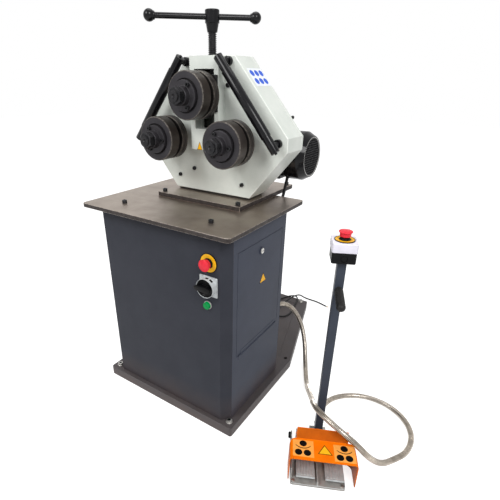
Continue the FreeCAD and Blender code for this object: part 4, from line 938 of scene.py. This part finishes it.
# %% Screws on the plate and face
TABLE_Z, PLATE_Z, FACE_Y, HEAD_X = 723, 738, 85, 19
FACE_PLACES = [(-133, 789), (-69, 817), (124, 785), (68, 1077), (-68, 1077)]
plate_places = [((177 * side, -131, TABLE_Z), (0, 0, 1)) for side in (-1, 1)]
plate_places += [((HEAD_X + 152 * side, y, PLATE_Z), (0, 0, 1)) for side in (-1, 1) for y in (19, 354)]
plate_screws = screw_set(8, 10, plate_places)
settle(plate_screws, "plate_cap_screws", "machine", "dark_casting", black_oxide)
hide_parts("plate_screws")
face_screws = screw_set(6.5, 6, [((HEAD_X + dx, FACE_Y, z), (0, -1, 0)) for dx, z in FACE_PLACES])
settle(face_screws, "face_cap_screws", "machine", "dark_casting", black_oxide)
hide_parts("face_screws")
print("screws", len(plate_places) + len(FACE_PLACES))

# %% [markdown]
# ## Floor anchors
# Each corner bolt is a washer, a hexagon nut and the tip of a stud. They are modelled once, joined
# and copied to the four corners of the floor frame. An Array could repeat them, but the corners
# don't stand in one row or grid.

# %% Anchors
BASE_H, WASHER = 37, 2
ANCHOR_PLACES = [(-268.5, -164), (268.5, -164), (-119, 733), (119, 733)]
washer = lathe([(5.8, 0), (12, 0), (12, 1.6), (11.6, WASHER), (5.8, WASHER), (5.8, 0)], (0, 0, BASE_H))
nut = stand(hexagon_nut(10, 7), (0, 0, BASE_H + WASHER))
stud = lathe([(0, 6), (5.8, 6), (5.8, 45), (5.0, 46), (0, 46)], slices=32)
anchor = joined([washer, nut, stud])
anchors = [twin(anchor, Matrix.Translation(Vector((x, y, 0)) * MM)) for x, y in ANCHOR_PLACES]
bpy.data.objects.remove(anchor)
anchors = joined(anchors)
settle(anchors, "floor_anchors", "machine", "zinc_steel", zinc_steel)
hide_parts("anchor_bolts")
print("anchors", len(anchors.data.polygons))

# %% [markdown]
# ## Rolls
# One closed outline gives a whole roll: the hub and flange in front, the thick disc, the narrow
# groove that holds the bar, and the two stepped discs behind. It is spun once with 96 slices. The
# finish of each face is chosen from where it lies, because the wear follows the shape: chamfers are
# rubbed bright, and the floors of the groove and the recess stay black.

# %% Roll outline and finishes
HUB, FLANGE, RECESS, RIM, BORE = 26, 43, 46.5, 67, 15.05
HUB_FRONT, DISC_FRONT = -45.5, -37
ROLL_OUTLINE = [
    (BORE, -65), (HUB - 1, -65), (HUB, -64), (HUB, -47.8), (HUB + 0.8, -46.2), (HUB + 2.4, HUB_FRONT),
    (FLANGE - 2, HUB_FRONT), (FLANGE - 0.5, -44.9), (FLANGE, -43.4), (FLANGE, -33), (RECESS, -33),
    (RECESS, -36.4), (RECESS + 0.6, DISC_FRONT), (RIM - 3, DISC_FRONT), (RIM - 0.8, -36), (RIM, -34),
    (RIM, -1), (RIM - 0.9, 0), (42, 0), (42, 15), (RIM - 2.6, 15), (RIM - 0.6, 15.8), (RIM, 17.4),
    (RIM, 26.2), (RIM - 4, 27.5), (RIM, 28.8), (RIM, 40.4), (RIM - 2.6, 43), (BORE, 43), (BORE, -65),
]
FACE, SIDE, WORN, GROOVE = range(4)


def roll_paint(face):
    """Which of a roll's four finishes a face takes, from its radius, depth and slope."""
    reach = math.hypot(face.center.x, face.center.y) / MM
    depth = face.center.z / MM
    level = abs(face.normal.z)
    if -0.6 < depth < 15.2 and reach < RIM - 0.7 or depth > -36.6 and FLANGE - 1 < reach < RECESS + 0.2:
        return GROOVE
    if reach > RIM - 4 and 0.2 < level < 0.97 and not 26 < depth < 29:
        return WORN
    if reach > RIM - 5 and level < 0.2:
        return SIDE
    return FACE


print("roll outline", len(ROLL_OUTLINE), "points")

# %% [markdown]
# Three cap screws, a shaft and a large nut belong to each roll. They ride on the same body as the
# roll, so they turn with it. The three screws stand at another angle on every roll, because the
# rolls stop where they happen to stop.

# %% Rolls
CAP_ANGLES = {"top": 57, "left": 118, "right": 115}
CAP_CIRCLE = 36
for where, (x, z) in ROLL_CENTRES.items():
    roll = lathe(ROLL_OUTLINE, (x, 0, z), (0, 1, 0), 96)
    for paint in (face_finish[where], rim_finish[where], rim_wear, groove_black):
        roll.data.materials.append(paint)
    for face in roll.data.polygons:
        face.material_index = roll_paint(face)
    settle(roll, "grooved_roll_" + where, where + "_roll", "black_oxide", smooth=32)
    level_normals(roll)
    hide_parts("roll_" + where)
    cap_places = []
    for k in range(3):
        turn = math.radians(CAP_ANGLES[where] + 120 * k)
        cap_at = (x + CAP_CIRCLE * math.cos(turn), HUB_FRONT, z + CAP_CIRCLE * math.sin(turn))
        cap_places.append((cap_at, (0, -1, 0)))
    caps = screw_set(6, 7, cap_places)
    settle(caps, "roll_caps_" + where, where + "_roll", "black_oxide", black_oxide)
    dressed("roll_shaft_" + where, "shaft_" + where, where + "_roll", "black_oxide", black_oxide, 0.8,
            rim_wear, turned=True)
    nut = stand(hexagon_nut(25, 19.6), (x, -65.2, z), (0, -1, 0))
    settle(nut, "roll_nut_" + where, where + "_roll", "black_oxide", black_oxide)
    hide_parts("nut_" + where)
    print("roll", where, len(roll.data.polygons))

# %% [markdown]
# ## Screw and T-handle
# The screw's thread is one tooth turned upward by its pitch again and again, then cut level at both
# ends. Stacked rings would look much the same from afar, but they would not climb. Below the thread
# the screw ends in a thin bright journal.

# %% Screw thread
PITCH, CREST, ROOT = 5, 12.8, 10.4
SCREW_X, SCREW_Y, THREAD_LOW, THREAD_HIGH = 19, 100, 1106, 1217.5
tooth = drawn_line([(CREST, 0, 0), (CREST, 0, 0.34 * PITCH), (ROOT, 0, 0.5 * PITCH), (ROOT, 0, 0.84 * PITCH),
                    (CREST, 0, PITCH)])
bpy.ops.object.mode_set(mode="OBJECT")
climb = tooth.modifiers.new("turns", "SCREW")
climb.screw_offset, climb.iterations = PITCH * MM, int((THREAD_HIGH - THREAD_LOW) / PITCH) + 3
climb.steps = climb.render_steps = 36
apply_all(tooth)
bpy.ops.object.mode_set(mode="EDIT")
bpy.ops.mesh.select_all(action="SELECT")
bpy.ops.mesh.remove_doubles(threshold=0.00001)
for level, keep_above in ((PITCH, True), (PITCH + THREAD_HIGH - THREAD_LOW, False)):
    bpy.ops.mesh.select_all(action="SELECT")
    bpy.ops.mesh.bisect(plane_co=(0, 0, level * MM), plane_no=(0, 0, 1), use_fill=True,
                        clear_inner=keep_above, clear_outer=not keep_above)
closed_up()
stand(tooth, (SCREW_X, SCREW_Y, THREAD_LOW - PITCH))
settle(tooth, "screw_thread", "spindle", "gloss_black_metal", black_oxide, smooth=28)
journal = lathe([(0, 1081), (8, 1081), (8, 1107), (0, 1107)], (SCREW_X, SCREW_Y, 0), slices=32)
settle(journal, "screw_journal", "spindle", "gloss_black_metal", bright_steel)
print("thread faces", len(tooth.data.polygons))

# %% [markdown]
# Balls, domes and rounded lips need the points of an arc in their outline. Their number can be
# chosen, so a large ball gets more of them than a small lip.


# %% Arcs
def arc_points(centre_r, centre_z, radius, start, end, count=8):
    """Points of an arc in the outline's plane, angles in degrees from the radial direction."""
    angles = [math.radians(start + (end - start) * k / count) for k in range(count + 1)]
    return [(max(0, centre_r + radius * math.cos(a)), centre_z + radius * math.sin(a)) for a in angles]


print("quarter arc", [round(r, 2) for r, z in arc_points(0, 0, 1, 0, 90, 4)])

# %% [markdown]
# The hub above the thread comes from the CAD solid, which already has the cross hole for the bar.
# Its lower part is cut off, because the modelled thread stands there. The bar is one turned piece
# with a collar and a ball at each end, slid a little to one side in its hole. Half of its outline is
# drawn and mirrored, so both ends are sure to be equal.

# %% Hub and T-handle
hub = dressed("screw_hub", "screw_spindle", "spindle", "gloss_black_metal", gloss_black, 0.8)
pick(hub)
bpy.ops.object.mode_set(mode="EDIT")
bpy.ops.mesh.select_all(action="SELECT")
bpy.ops.mesh.bisect(plane_co=(0, 0, (THREAD_HIGH - 0.4) * MM), plane_no=(0, 0, 1), use_fill=True,
                    clear_inner=True)
bpy.ops.object.mode_set(mode="OBJECT")
TEE_Z, TEE_SLIDE, BALL_AT, BALL_R = 1256.5, 26, 155, 16.6
tee_turn = math.radians(43)
tee_axis = Vector((math.cos(tee_turn), math.sin(tee_turn), 0))
tee_middle = Vector((SCREW_X, SCREW_Y, TEE_Z)) - TEE_SLIDE * tee_axis
half_bar = [(8, 0), (8, 138.7), (10.2, 139.2), (11.2, 140.2), (11.2, 142)]
half_bar += arc_points(0, BALL_AT, BALL_R, -46, 90, 14)
tee = lathe([(r, -h) for r, h in reversed(half_bar)] + half_bar[1:], tee_middle, tee_axis, 48)
settle(tee, "tee_handle", "tee", "gloss_black_metal", gloss_black)
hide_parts("tee_bar")
print("handle faces", len(tee.data.polygons))

# %% [markdown]
# ## Motor
# Cooling fins run along the motor's body. One fin is modelled and copied around it every ten
# degrees. They leave room below and on the lower front side, where the terminal box sits, and on
# the side that is close to the head.


# %% Motor fins
def rounded_block(size, at, round_mm):
    """A box with rounded edges, given by its size and centre in mm."""
    bpy.ops.object.select_all(action="DESELECT")
    bpy.ops.mesh.primitive_cube_add(size=MM)
    piece = bpy.context.object
    bpy.ops.object.mode_set(mode="EDIT")
    bpy.ops.transform.resize(value=size)
    bpy.ops.mesh.bevel(offset=round_mm * MM, segments=3, affect="EDGES")
    bpy.ops.object.mode_set(mode="OBJECT")
    return stand(piece, at)


MOTOR_Y, MOTOR_Z = 282, 862
motor_middle = Matrix.Translation((0, MOTOR_Y * MM, MOTOR_Z * MM))
fin = rounded_block((112, 3, 9), (156, 0, 70), 0.8)
fins = []
for k in range(36):
    around = math.radians(10 * k)
    side_y, side_z = math.sin(around), math.cos(around)
    if side_z < -0.97 or (side_z < -0.2 and side_y < 0.1) or (side_y < -0.9 and side_z < 0.3):
        continue
    fins.append(twin(fin, motor_middle @ Matrix.Rotation(-around, 4, "X") @ fin.matrix_basis))
bpy.data.objects.remove(fin)
print("fins", len(fins))
settle(joined(fins), "motor_fins", "machine", "gloss_black_metal", gloss_black)

# %% [markdown]
# The fan cowl is a thin shell with a rounded shoulder, turned from one closed outline that runs up
# the outside and back down the inside.

# %% Fan cowl
COWL_OUTLINE = [
    (76, 221), (79, 221), (79, 268), (78.4, 270.6), (77, 272.6), (67, 291), (65.6, 292.8), (63.6, 292.8),
    (62.6, 291.2), (62.6, 289.4), (64.6, 289.2), (74.6, 271), (76, 268), (76, 221),
]
cowl = lathe(COWL_OUTLINE, (0, MOTOR_Y, MOTOR_Z), (1, 0, 0), 72)
settle(cowl, "fan_cowl", "machine", "gloss_black_metal", gloss_black)
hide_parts("motor_cowl")
print("cowl faces", len(cowl.data.polygons))

# %% [markdown]
# A honeycomb grille closes the cowl. One six-sided cell with an open middle is modelled, copies of
# it stand wherever a whole cell fits inside the opening, and all are merged and thickened together.
# An edge wire closes the ragged outline. A Boolean could cut a full honeycomb to a circle instead,
# but it is slow and can fail on so many small holes. A bright ring holds the grille in the cowl.

# %% Grille
CELL, OPENING, WIRE = 5.0, 63.4, 1.2
bpy.ops.object.select_all(action="DESELECT")
bpy.ops.mesh.primitive_circle_add(vertices=6, radius=CELL * MM, fill_type="NGON")
cell = bpy.context.object
bpy.ops.object.mode_set(mode="EDIT")
bpy.ops.mesh.select_all(action="SELECT")
bpy.ops.mesh.inset(thickness=0.75 * MM)
bpy.ops.mesh.delete(type="FACE")
bpy.ops.mesh.select_all(action="SELECT")
bpy.ops.object.mode_set(mode="OBJECT")
cells = []
for column in range(-18, 19):
    for rank in range(-20, 21):
        across = column * 1.5 * CELL
        along = (rank + 0.5 * (column % 2)) * math.sqrt(3) * CELL
        if math.hypot(across, along) < OPENING - CELL:
            cells.append(twin(cell, Matrix.Translation((across * MM, along * MM, 0))))
bpy.data.objects.remove(cell)
cell_count = len(cells)
grille = joined(cells)
bpy.ops.object.mode_set(mode="EDIT")
bpy.ops.mesh.select_all(action="SELECT")
bpy.ops.mesh.remove_doubles(threshold=0.00001)
bpy.ops.mesh.extrude_region_move(TRANSFORM_OT_translate={"value": (0, 0, WIRE * MM)})
closed_up()
edge_wire = lathe([(OPENING - 5.4, 0), (OPENING - 0.6, 0), (OPENING - 0.6, WIRE), (OPENING - 5.4, WIRE),
                   (OPENING - 5.4, 0)])
grille = joined([grille, edge_wire])
stand(grille, (289.8, MOTOR_Y, MOTOR_Z), (1, 0, 0))
settle(grille, "cowl_grille", "machine", "gloss_black_metal", grille_wire, smooth=0)
ring = lathe([(61.4, 290.9), (63.2, 290.9), (63.2, 292), (62.7, 292.5), (61.9, 292.5), (61.4, 292),
              (61.4, 290.9)], (0, MOTOR_Y, MOTOR_Z), (1, 0, 0), 72)
settle(ring, "grille_ring", "machine", "gloss_black_metal", zinc_steel)
print("cells", cell_count, "faces", len(grille.data.polygons))

# %% [markdown]
# ## Foot unit
# A bent orange guard stands over two treadles, with a square post that carries the stop box. The
# guard is thick sheet with painted edges, the treadles and their base are rough castings, and the
# axle and screws are turned.

# %% Foot unit solids
SHADED = {"edge": orange_paint, "upright": orange_shade}
dress_all([
    ("treadle_guard", "pedal_guard", "machine", "orange_paint", orange_paint, 0.7, SHADED),
    ("treadle_base", "pedal_base", "machine", "cast_aluminium", base_casting, 0.8, {"edge": cast_aluminium}),
    ("left_treadle", "pedal_left", "left_pedal", "cast_aluminium", cast_aluminium, 0.5, PLAIN),
    ("right_treadle", "pedal_right", "right_pedal", "cast_aluminium", cast_aluminium, 0.5, PLAIN),
    ("treadle_axle", "pedal_axle", "machine", "zinc_steel", zinc_steel, 0.4, TURNED),
    ("base_screws", "pedal_screws", "machine", "zinc_steel", zinc_steel, 0.8, TURNED),
    ("stop_post", "pedal_post", "machine", "post_paint", post_paint, 1.2, PLAIN),
    ("stop_box_base", "stop_box_lower", "machine", "black_plastic", black_plastic, 2.0, PLAIN),
    ("stop_box_cap", "stop_box_lid", "machine", "pale_plastic", pale_plastic, 2.6, PLAIN),
])

# %% [markdown]
# The foot unit stands at an angle to the machine, so its smaller pieces are placed with two helpers
# that know its own directions: `u` to the right, `v` to the back. A ribbed rubber handgrip sits on
# the post. Its ribs are four points of the turned outline, repeated nine times.

# %% Handgrip
PEDAL = Matrix.Translation(Vector((521, -222, 0)) * MM) @ Matrix.Rotation(math.radians(26), 4, "Z")
POST_U, POST_V, POST_HALF = 100, 190, 12.5
GRIP_Z, GRIP_TILT, GRIP_R, RIB_STEP = 566, math.radians(9.3), 12.5, 6.6


def in_pedal(u, v, z):
    """A point of the foot unit, in mm of the machine's frame."""
    return PEDAL @ (Vector((u, v, z)) * MM) / MM


def pedal_way(u, v, z):
    """A direction of the foot unit, turned into the machine's frame."""
    return PEDAL.to_3x3() @ Vector((u, v, z))


grip_outline = [(0, 6), (11.2, 6), (GRIP_R, 8)]
for k in range(9):
    low = 12 + RIB_STEP * k
    grip_outline += [(GRIP_R, low), (11.7, low + 1), (11.7, low + 2.6), (GRIP_R, low + 3.6)]
grip_outline += arc_points(0, 77.5, GRIP_R, 0, 90, 8)
post_face = in_pedal(POST_U, POST_V - POST_HALF, GRIP_Z)
grip = lathe(grip_outline, post_face, pedal_way(0, -math.cos(GRIP_TILT), -math.sin(GRIP_TILT)), 40)
grip_neck = lathe([(0, 0), (9.5, 0), (9.5, 1.6), (8.5, 2.4), (8.5, 12), (0, 12)], post_face,
                  pedal_way(0, -1, 0), 40)
handgrip = settle(joined([grip, grip_neck]), "post_handgrip", "machine", "cable_rubber", rubber)
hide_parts("post_grip")
print("grip faces", len(handgrip.data.polygons))

# %% [markdown]
# A black gland behind the post takes the conduit, and a black plug fills a spare opening in the
# side of the base. The gland's outline is closed on itself, so that it stays an open sleeve.

# %% Glands
GLAND_Z = 35
GLAND_OUTLINE = [(9.6, 0), (13, 0), (13, 5), (11.6, 6), (11, 6.4), (11, 13), (10.2, 16), (9.6, 16), (9.6, 0)]
PLUG_OUTLINE = [(0, 0), (10.4, 0), (10.4, 5.6), (8.8, 8), (0, 8)]
gland = lathe(GLAND_OUTLINE, in_pedal(POST_U, POST_V + POST_HALF, GLAND_Z), pedal_way(0, 1, 0))
plug = lathe(PLUG_OUTLINE, in_pedal(7.5, 138, GLAND_Z), pedal_way(-1, 0, 0))
glands = settle(joined([gland, plug]), "cable_glands", "machine", "black_plastic", black_plastic)
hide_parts("pedal_glands")
print("gland faces", len(glands.data.polygons))

# %% [markdown]
# ## Controls
# Two emergency stops, a main switch and a lamp. Each stop is an amber disc with a black rim, a black
# collar and a red mushroom head. The head rides on a body of its own, so it can be pressed, and its
# skirt is hollow, so that it passes over the collar on its way down.

# %% Emergency stops
CONTROL_X, PANEL_Y = 200, -175.5
BOX_TOP = (527.57, -7.39, 710)
STOPS = [("cabinet", (CONTROL_X, PANEL_Y, 619), (0, -1, 0), 30), ("pedal", BOX_TOP, (0, 0, 1), 27.5)]
RIM_WIDE = 2.2
COLLAR_OUTLINE = [(7.3, 0.5), (16, 0.5), (16, 3), (14.2, 3.8), (13.3, 5.2), (13.1, 7.4), (12.5, 8), (7.3, 8),
                  (7.3, 0.5)]
BUTTON_OUTLINE = [(0, -4.5), (7, -4.5), (7, 15.6), (14, 15.6), (14, 10.6), (14.8, 10.6), (15.2, 11.2),
                  (15.2, 17.6), (15.7, 19.8), (17.2, 21.4)]
BUTTON_OUTLINE += arc_points(17, 23.2, 1.7, -40, 90, 6)
BUTTON_OUTLINE += [(15.4, 24.7), (14.6, 24.4)]
BUTTON_OUTLINE += arc_points(0, -30, 57, 76, 90, 6)
for where, at, axis, edge_r in STOPS:
    inner_r = edge_r - RIM_WIDE
    disc = lathe([(13, 0), (inner_r, 0), (inner_r, 2), (13.6, 2.1), (13, 1.8), (13, 0)], at, axis)
    settle(disc, "stop_disc_" + where, "machine", "amber_plastic", amber_plastic)
    rim = lathe([(inner_r, 0), (edge_r, 0), (edge_r, 2.0), (edge_r - 0.5, 2.4), (edge_r - 1.8, 2.4),
                 (inner_r, 2.1), (inner_r, 0)], at, axis)
    settle(rim, "stop_rim_" + where, "machine", "amber_plastic", black_plastic)
    collar = lathe(COLLAR_OUTLINE, at, axis)
    settle(collar, "stop_collar_" + where, "machine", "amber_plastic", black_plastic)
    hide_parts("estop_ring_" + where)
    button = lathe(BUTTON_OUTLINE, at, axis)
    settle(button, "mushroom_button_" + where, "stop_" + where, "red_plastic", red_plastic)
    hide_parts("estop_button_" + where)
    print("stop", where, len(button.data.polygons))

# %% [markdown]
# Levers, slots and signs are flat pieces with an outline of their own, so they are filled and
# thickened instead of turned. A frame that lies in a sloping surface puts them in place.


# %% Plates and surface frames
def plate(outline, thick, round_mm=0):
    """Fill a flat outline of (x, y) in mm and thicken it upward."""
    piece = drawn_line([(x, y, 0) for x, y in outline] + [(*outline[0], 0)])
    bpy.ops.mesh.remove_doubles(threshold=0.000002)
    bpy.ops.mesh.edge_face_add()
    bpy.ops.mesh.extrude_region_move(TRANSFORM_OT_translate={"value": (0, 0, thick * MM)})
    bpy.ops.mesh.select_all(action="SELECT")
    if round_mm:
        bpy.ops.mesh.bevel(offset=round_mm * MM, segments=2, affect="EDGES")
    closed_up()
    return piece


def framed(origin, right, up):
    """Frame whose X and Y lie in a surface and whose Z leaves it."""
    x, y = Vector(right).normalized(), Vector(up).normalized()
    return Matrix.Translation(Vector(origin) * MM) @ Matrix((x, y, x.cross(y))).transposed().to_4x4()


print("plate tools ready")

# %% [markdown]
# The main switch is a grey shield with a black dial. A raised lever crosses the dial on a boss, and
# all three turn as one. The lever is a plate with rounded edges, because its outline isn't round.
# Two dark marks beside the dial are the slots in which it could be padlocked; their black is painted shade
# standing for the dark inside the slots.

# %% Main switch
SWITCH_Z, SLOT_R = 546, 30
shield = dressed("switch_shield", "switch_plate", "machine", "pale_plastic", grey_plastic, 1.0)
windows = []
for lean, front_y, half_wide in ((57, -188.4, 5.4), (85, -189.2, 4.2)):
    out = Vector((math.cos(math.radians(lean)), 0, math.sin(math.radians(lean))))
    slot_mark = plate([(-half_wide, -3.6), (half_wide, -3.6), (half_wide, 3.6), (-half_wide, 3.6)], 0.9, 0.3)
    slot_mark.matrix_world = framed(Vector((CONTROL_X, front_y, SWITCH_Z)) + SLOT_R * out,
                                    (out.z, 0, -out.x), (0, 1, 0))
    windows.append(slot_mark)
settle(joined(windows), "padlock_slots", "machine", "pale_plastic", groove_black)
dial = lathe([(0, 0), (28.4, 0), (28.4, 16.6), (27.8, 17.6), (26.8, 17.6), (25.6, 15.6), (22, 13.2),
              (14, 12.8), (12.6, 19), (0, 19)], (CONTROL_X, -181, SWITCH_Z), (0, -1, 0), 72)
lever = plate([(-33, -3.5), (-33, 3.5), (-24, 8.5), (8, 8.5), (22, 6.5), (23, 3), (23, -3), (22, -6.5),
               (8, -8.5), (-24, -8.5)], 9, 1.8)
lever_at = Matrix.Translation(Vector((CONTROL_X, -199.9, SWITCH_Z)) * MM)
lever.matrix_world = lever_at @ Matrix.Rotation(math.radians(90), 4, "X")
knob = settle(joined([lever, dial]), "rotary_handle", "knob", "black_plastic", black_plastic)
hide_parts("switch_knob")
print("shield faces", len(shield.data.polygons), "handle faces", len(knob.data.polygons))

# %% [markdown]
# The lamp is a bright ring around a green cap. Its black neck runs back through the panel.

# %% Lamp
LAMP_X, LAMP_Z = 195.5, 480
LAMP = (LAMP_X, PANEL_Y, LAMP_Z)
bezel = lathe([(11.2, 0), (14, 0), (14, 2), (13.4, 3.2), (12.6, 3.6), (12, 3.2), (11.2, 0)], LAMP, (0, -1, 0))
settle(bezel, "lamp_bezel", "machine", "green_lens", zinc_steel)
CAP_OUTLINE = [(0, 1), (11.6, 1), (11.6, 9.6), (11, 10.8), (10.2, 11), (9.6, 10.4), (0, 11)]
cap = lathe(CAP_OUTLINE, LAMP, (0, -1, 0), 48)
neck = lathe([(0, 0), (11, 0), (11, 38), (0, 38)], (LAMP_X, PANEL_Y + 2, LAMP_Z), (0, 1, 0), 32)
settle(neck, "lamp_neck", "machine", "green_lens", black_plastic)
settle(cap, "lamp_cap", "machine", "green_lens", green_lens)
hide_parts("power_lamp")
print("lamp faces", len(bezel.data.polygons) + len(cap.data.polygons) + len(neck.data.polygons))

# %% [markdown]
# ## Signs
# The signs are thin films. Their lettering and pictures are left out, so each one keeps only its
# shape and colour. A film could be painted into the finish below it with a mask, but a thin plate
# has crisp edges at every distance. First the tools, then the white sheet with its six blue discs.


# %% Films and the safety sheet
def film(name, outline, thick, place, body, slot, paint):
    """A thin plate laid on a surface by its frame."""
    piece = plate(outline, thick, 0.08)
    piece.matrix_world = place
    return settle(piece, name, body, slot, paint, smooth=0)


def shifted(outline, du, dv, scale=1.0):
    """The outline scaled about its own origin, then moved."""
    return [(du + x * scale, dv + y * scale) for x, y in outline]


def lifted(place, mm):
    """The same frame, a little further out of the surface."""
    return place @ Matrix.Translation((0, 0, mm * MM))


CIRCLE = [(math.cos(math.radians(12 * k)), math.sin(math.radians(12 * k))) for k in range(30)]
SHEET, INK = 0.25, 0.2
slope = framed((158, 144, 1099.2), (0, 1, 0), (-0.653, 0, 0.757))
film("safety_sheet", [(-44, -31), (42, -31), (44, 31), (-40, 31)], SHEET, slope, "machine", "head_paint",
     sign_white)
for row in range(2):
    for column in range(3):
        film("blue_disc_%d%d" % (row, column), shifted(CIRCLE, -26 + 26 * column, 14 - 28 * row, 10.5), INK,
             lifted(slope, SHEET), "machine", "head_paint", sign_blue)
print("sheet with", 2 * 3, "discs")

# %% [markdown]
# Three amber triangles mark the column, the door and the foot guard. A warning triangle has a black
# border, so a smaller amber plate is laid on a black one.

# %% Triangles
TRIANGLES = [
    ("column_triangle", framed((-2.2, 54, 894.5), (1, 0, 0), (0, 0, 1)),
     [(-11, -9), (11, -9), (0, 17)], "machine", "head_paint"),
    ("door_triangle", framed((266, 30.5, 504), (0, 1, 0), (0, 0, 1)),
     [(-21, -11.5), (21, -11.5), (0, 22)], "door", "cabinet_paint"),
    ("guard_triangle", PEDAL @ Matrix.Translation(Vector((104.8, 37.7, 92)) * MM),
     [(-21.5, -11.5), (21.5, -11.5), (0, 23.5)], "machine", "orange_paint"),
]
for name, place, outline, body, slot in TRIANGLES:
    film(name + "_border", outline, INK, place, body, slot, sign_black)
    film(name, shifted(outline, 0, 0, 0.84), INK, lifted(place, INK), body, slot, sign_amber)
print("triangles", len(TRIANGLES))

# %% [markdown]
# Two orange squares on the foot guard show the three pedal positions as black discs. A narrow arc
# below the upper disc is the path of the foot.

# %% Pedal signs
GUARD_TOP = 92
SQUARE = [(-31, -30), (31, -30), (31, 30), (-31, 30)]
DOTS = [(0, 18), (-14.3, -15), (11.6, -15)]
SWEEP_R, SWEEP_WIDE = 30, 2.8
sweep = [(SWEEP_R * math.cos(math.radians(a)), 32 + SWEEP_R * math.sin(math.radians(a)))
         for a in range(222, 319, 8)]
sweep += [(x, y - SWEEP_WIDE) for x, y in reversed(sweep)]
for side, (u, v) in (("left", (40.8, 40.3)), ("right", (162.3, 37.0))):
    square = PEDAL @ Matrix.Translation(Vector((u, v, GUARD_TOP)) * MM)
    film("pedal_sign_" + side, SQUARE, SHEET, square, "machine", "orange_paint", sign_orange)
    for k, (du, dv) in enumerate(DOTS):
        film("pedal_dot_%s_%d" % (side, k), shifted(CIRCLE, du, dv, 11), INK, lifted(square, SHEET),
             "machine", "orange_paint", sign_black)
    film("pedal_arc_" + side, sweep, INK, lifted(square, SHEET), "machine", "orange_paint", sign_black)
print("pedal signs", 2, "with", len(DOTS), "dots each")

# %% [markdown]
# ## Floor and light
# The floor is white, but a floor lit strongly enough to look white would throw light up under the
# machine and wash out its shadow. So it glows only for rays that reach the eye, straight or by way
# of a reflection, and stays a dull grey for everything else. The ground under the hollow frame lies
# in the dark, so a black patch is laid there.


# %% Floor
def seen_by_eye(tree):
    """1 for rays from the camera, a reflection or glass, and 0 for light between surfaces."""
    rays = tree.nodes.new("ShaderNodeLightPath")
    indirect = math_node(tree, "MAXIMUM", rays.outputs["Is Glossy Ray"], rays.outputs["Is Transmission Ray"])
    return math_node(tree, "MAXIMUM", rays.outputs["Is Camera Ray"], indirect)


bpy.ops.object.select_all(action="DESELECT")
bpy.ops.mesh.primitive_plane_add(size=24, location=(0, 0, -0.0012))
floor = bpy.context.object
floor.name = "studio_floor"
studio = bpy.data.materials.new("studio_floor")
studio.use_nodes = True
tree = studio.node_tree
shade = tree.nodes["Principled BSDF"]
shade.inputs["Base Color"].default_value = (0.6, 0.6, 0.6, 1)
shade.inputs["Roughness"].default_value = 0.9
shade.inputs["Emission Color"].default_value = (1, 1, 1, 1)
tree.links.new(math_node(tree, "MULTIPLY", seen_by_eye(tree), 0.74), shade.inputs["Emission Strength"])
floor.data.materials.append(studio)
UNDER_FRAME = [(-286, -184), (286, -184), (286, 256), (142, 746), (-142, 746), (-286, 256)]
shade_patch = plate(UNDER_FRAME, 0.1)
pick(shade_patch)
shade_patch.location = (0, 0, -0.0006)
bpy.ops.object.transform_apply(location=True, rotation=True, scale=True)
shade_patch.name = "ground_under_frame"
shade_patch.data.materials.append(groove_black)
print("floor", [round(c, 1) for c in floor.dimensions])

# %% [markdown]
# A white surround fills the shadows, and three large round lamps give long highlights on the black
# steel. Small lamps would give small hard sparks instead.

# %% Light
world = bpy.data.worlds.new("studio")
bpy.context.scene.world = world
world.use_nodes = True
tree = world.node_tree
backdrop = tree.nodes["Background"]
backdrop.inputs["Color"].default_value = (1, 1, 1, 1)
tree.links.new(math_node(tree, "MULTIPLY_ADD", seen_by_eye(tree), 0.55, 0.45), backdrop.inputs["Strength"])


def soft_lamp(name, place, target, size, power):
    """A round area lamp, in metres and watts, turned toward a target."""
    lamp = bpy.data.objects.new(name, bpy.data.lights.new(name, "AREA"))
    bpy.context.scene.collection.objects.link(lamp)
    lamp.location = place
    lamp.rotation_mode = "QUATERNION"
    lamp.rotation_quaternion = (Vector(target) - Vector(place)).to_track_quat("-Z", "Y")
    lamp.data.shape, lamp.data.size, lamp.data.energy = "DISK", size, power


soft_lamp("key", (2.5, -1.7, 2.9), (0.1, 0, 0.7), 1.7, 82)
soft_lamp("front", (-0.7, -2.0, 2.5), (0.1, 0, 0.8), 1.3, 42)
soft_lamp("top", (-0.2, 0.6, 3.6), (0, 0, 0.8), 2.2, 25)
print("lamps", len(bpy.data.lights))
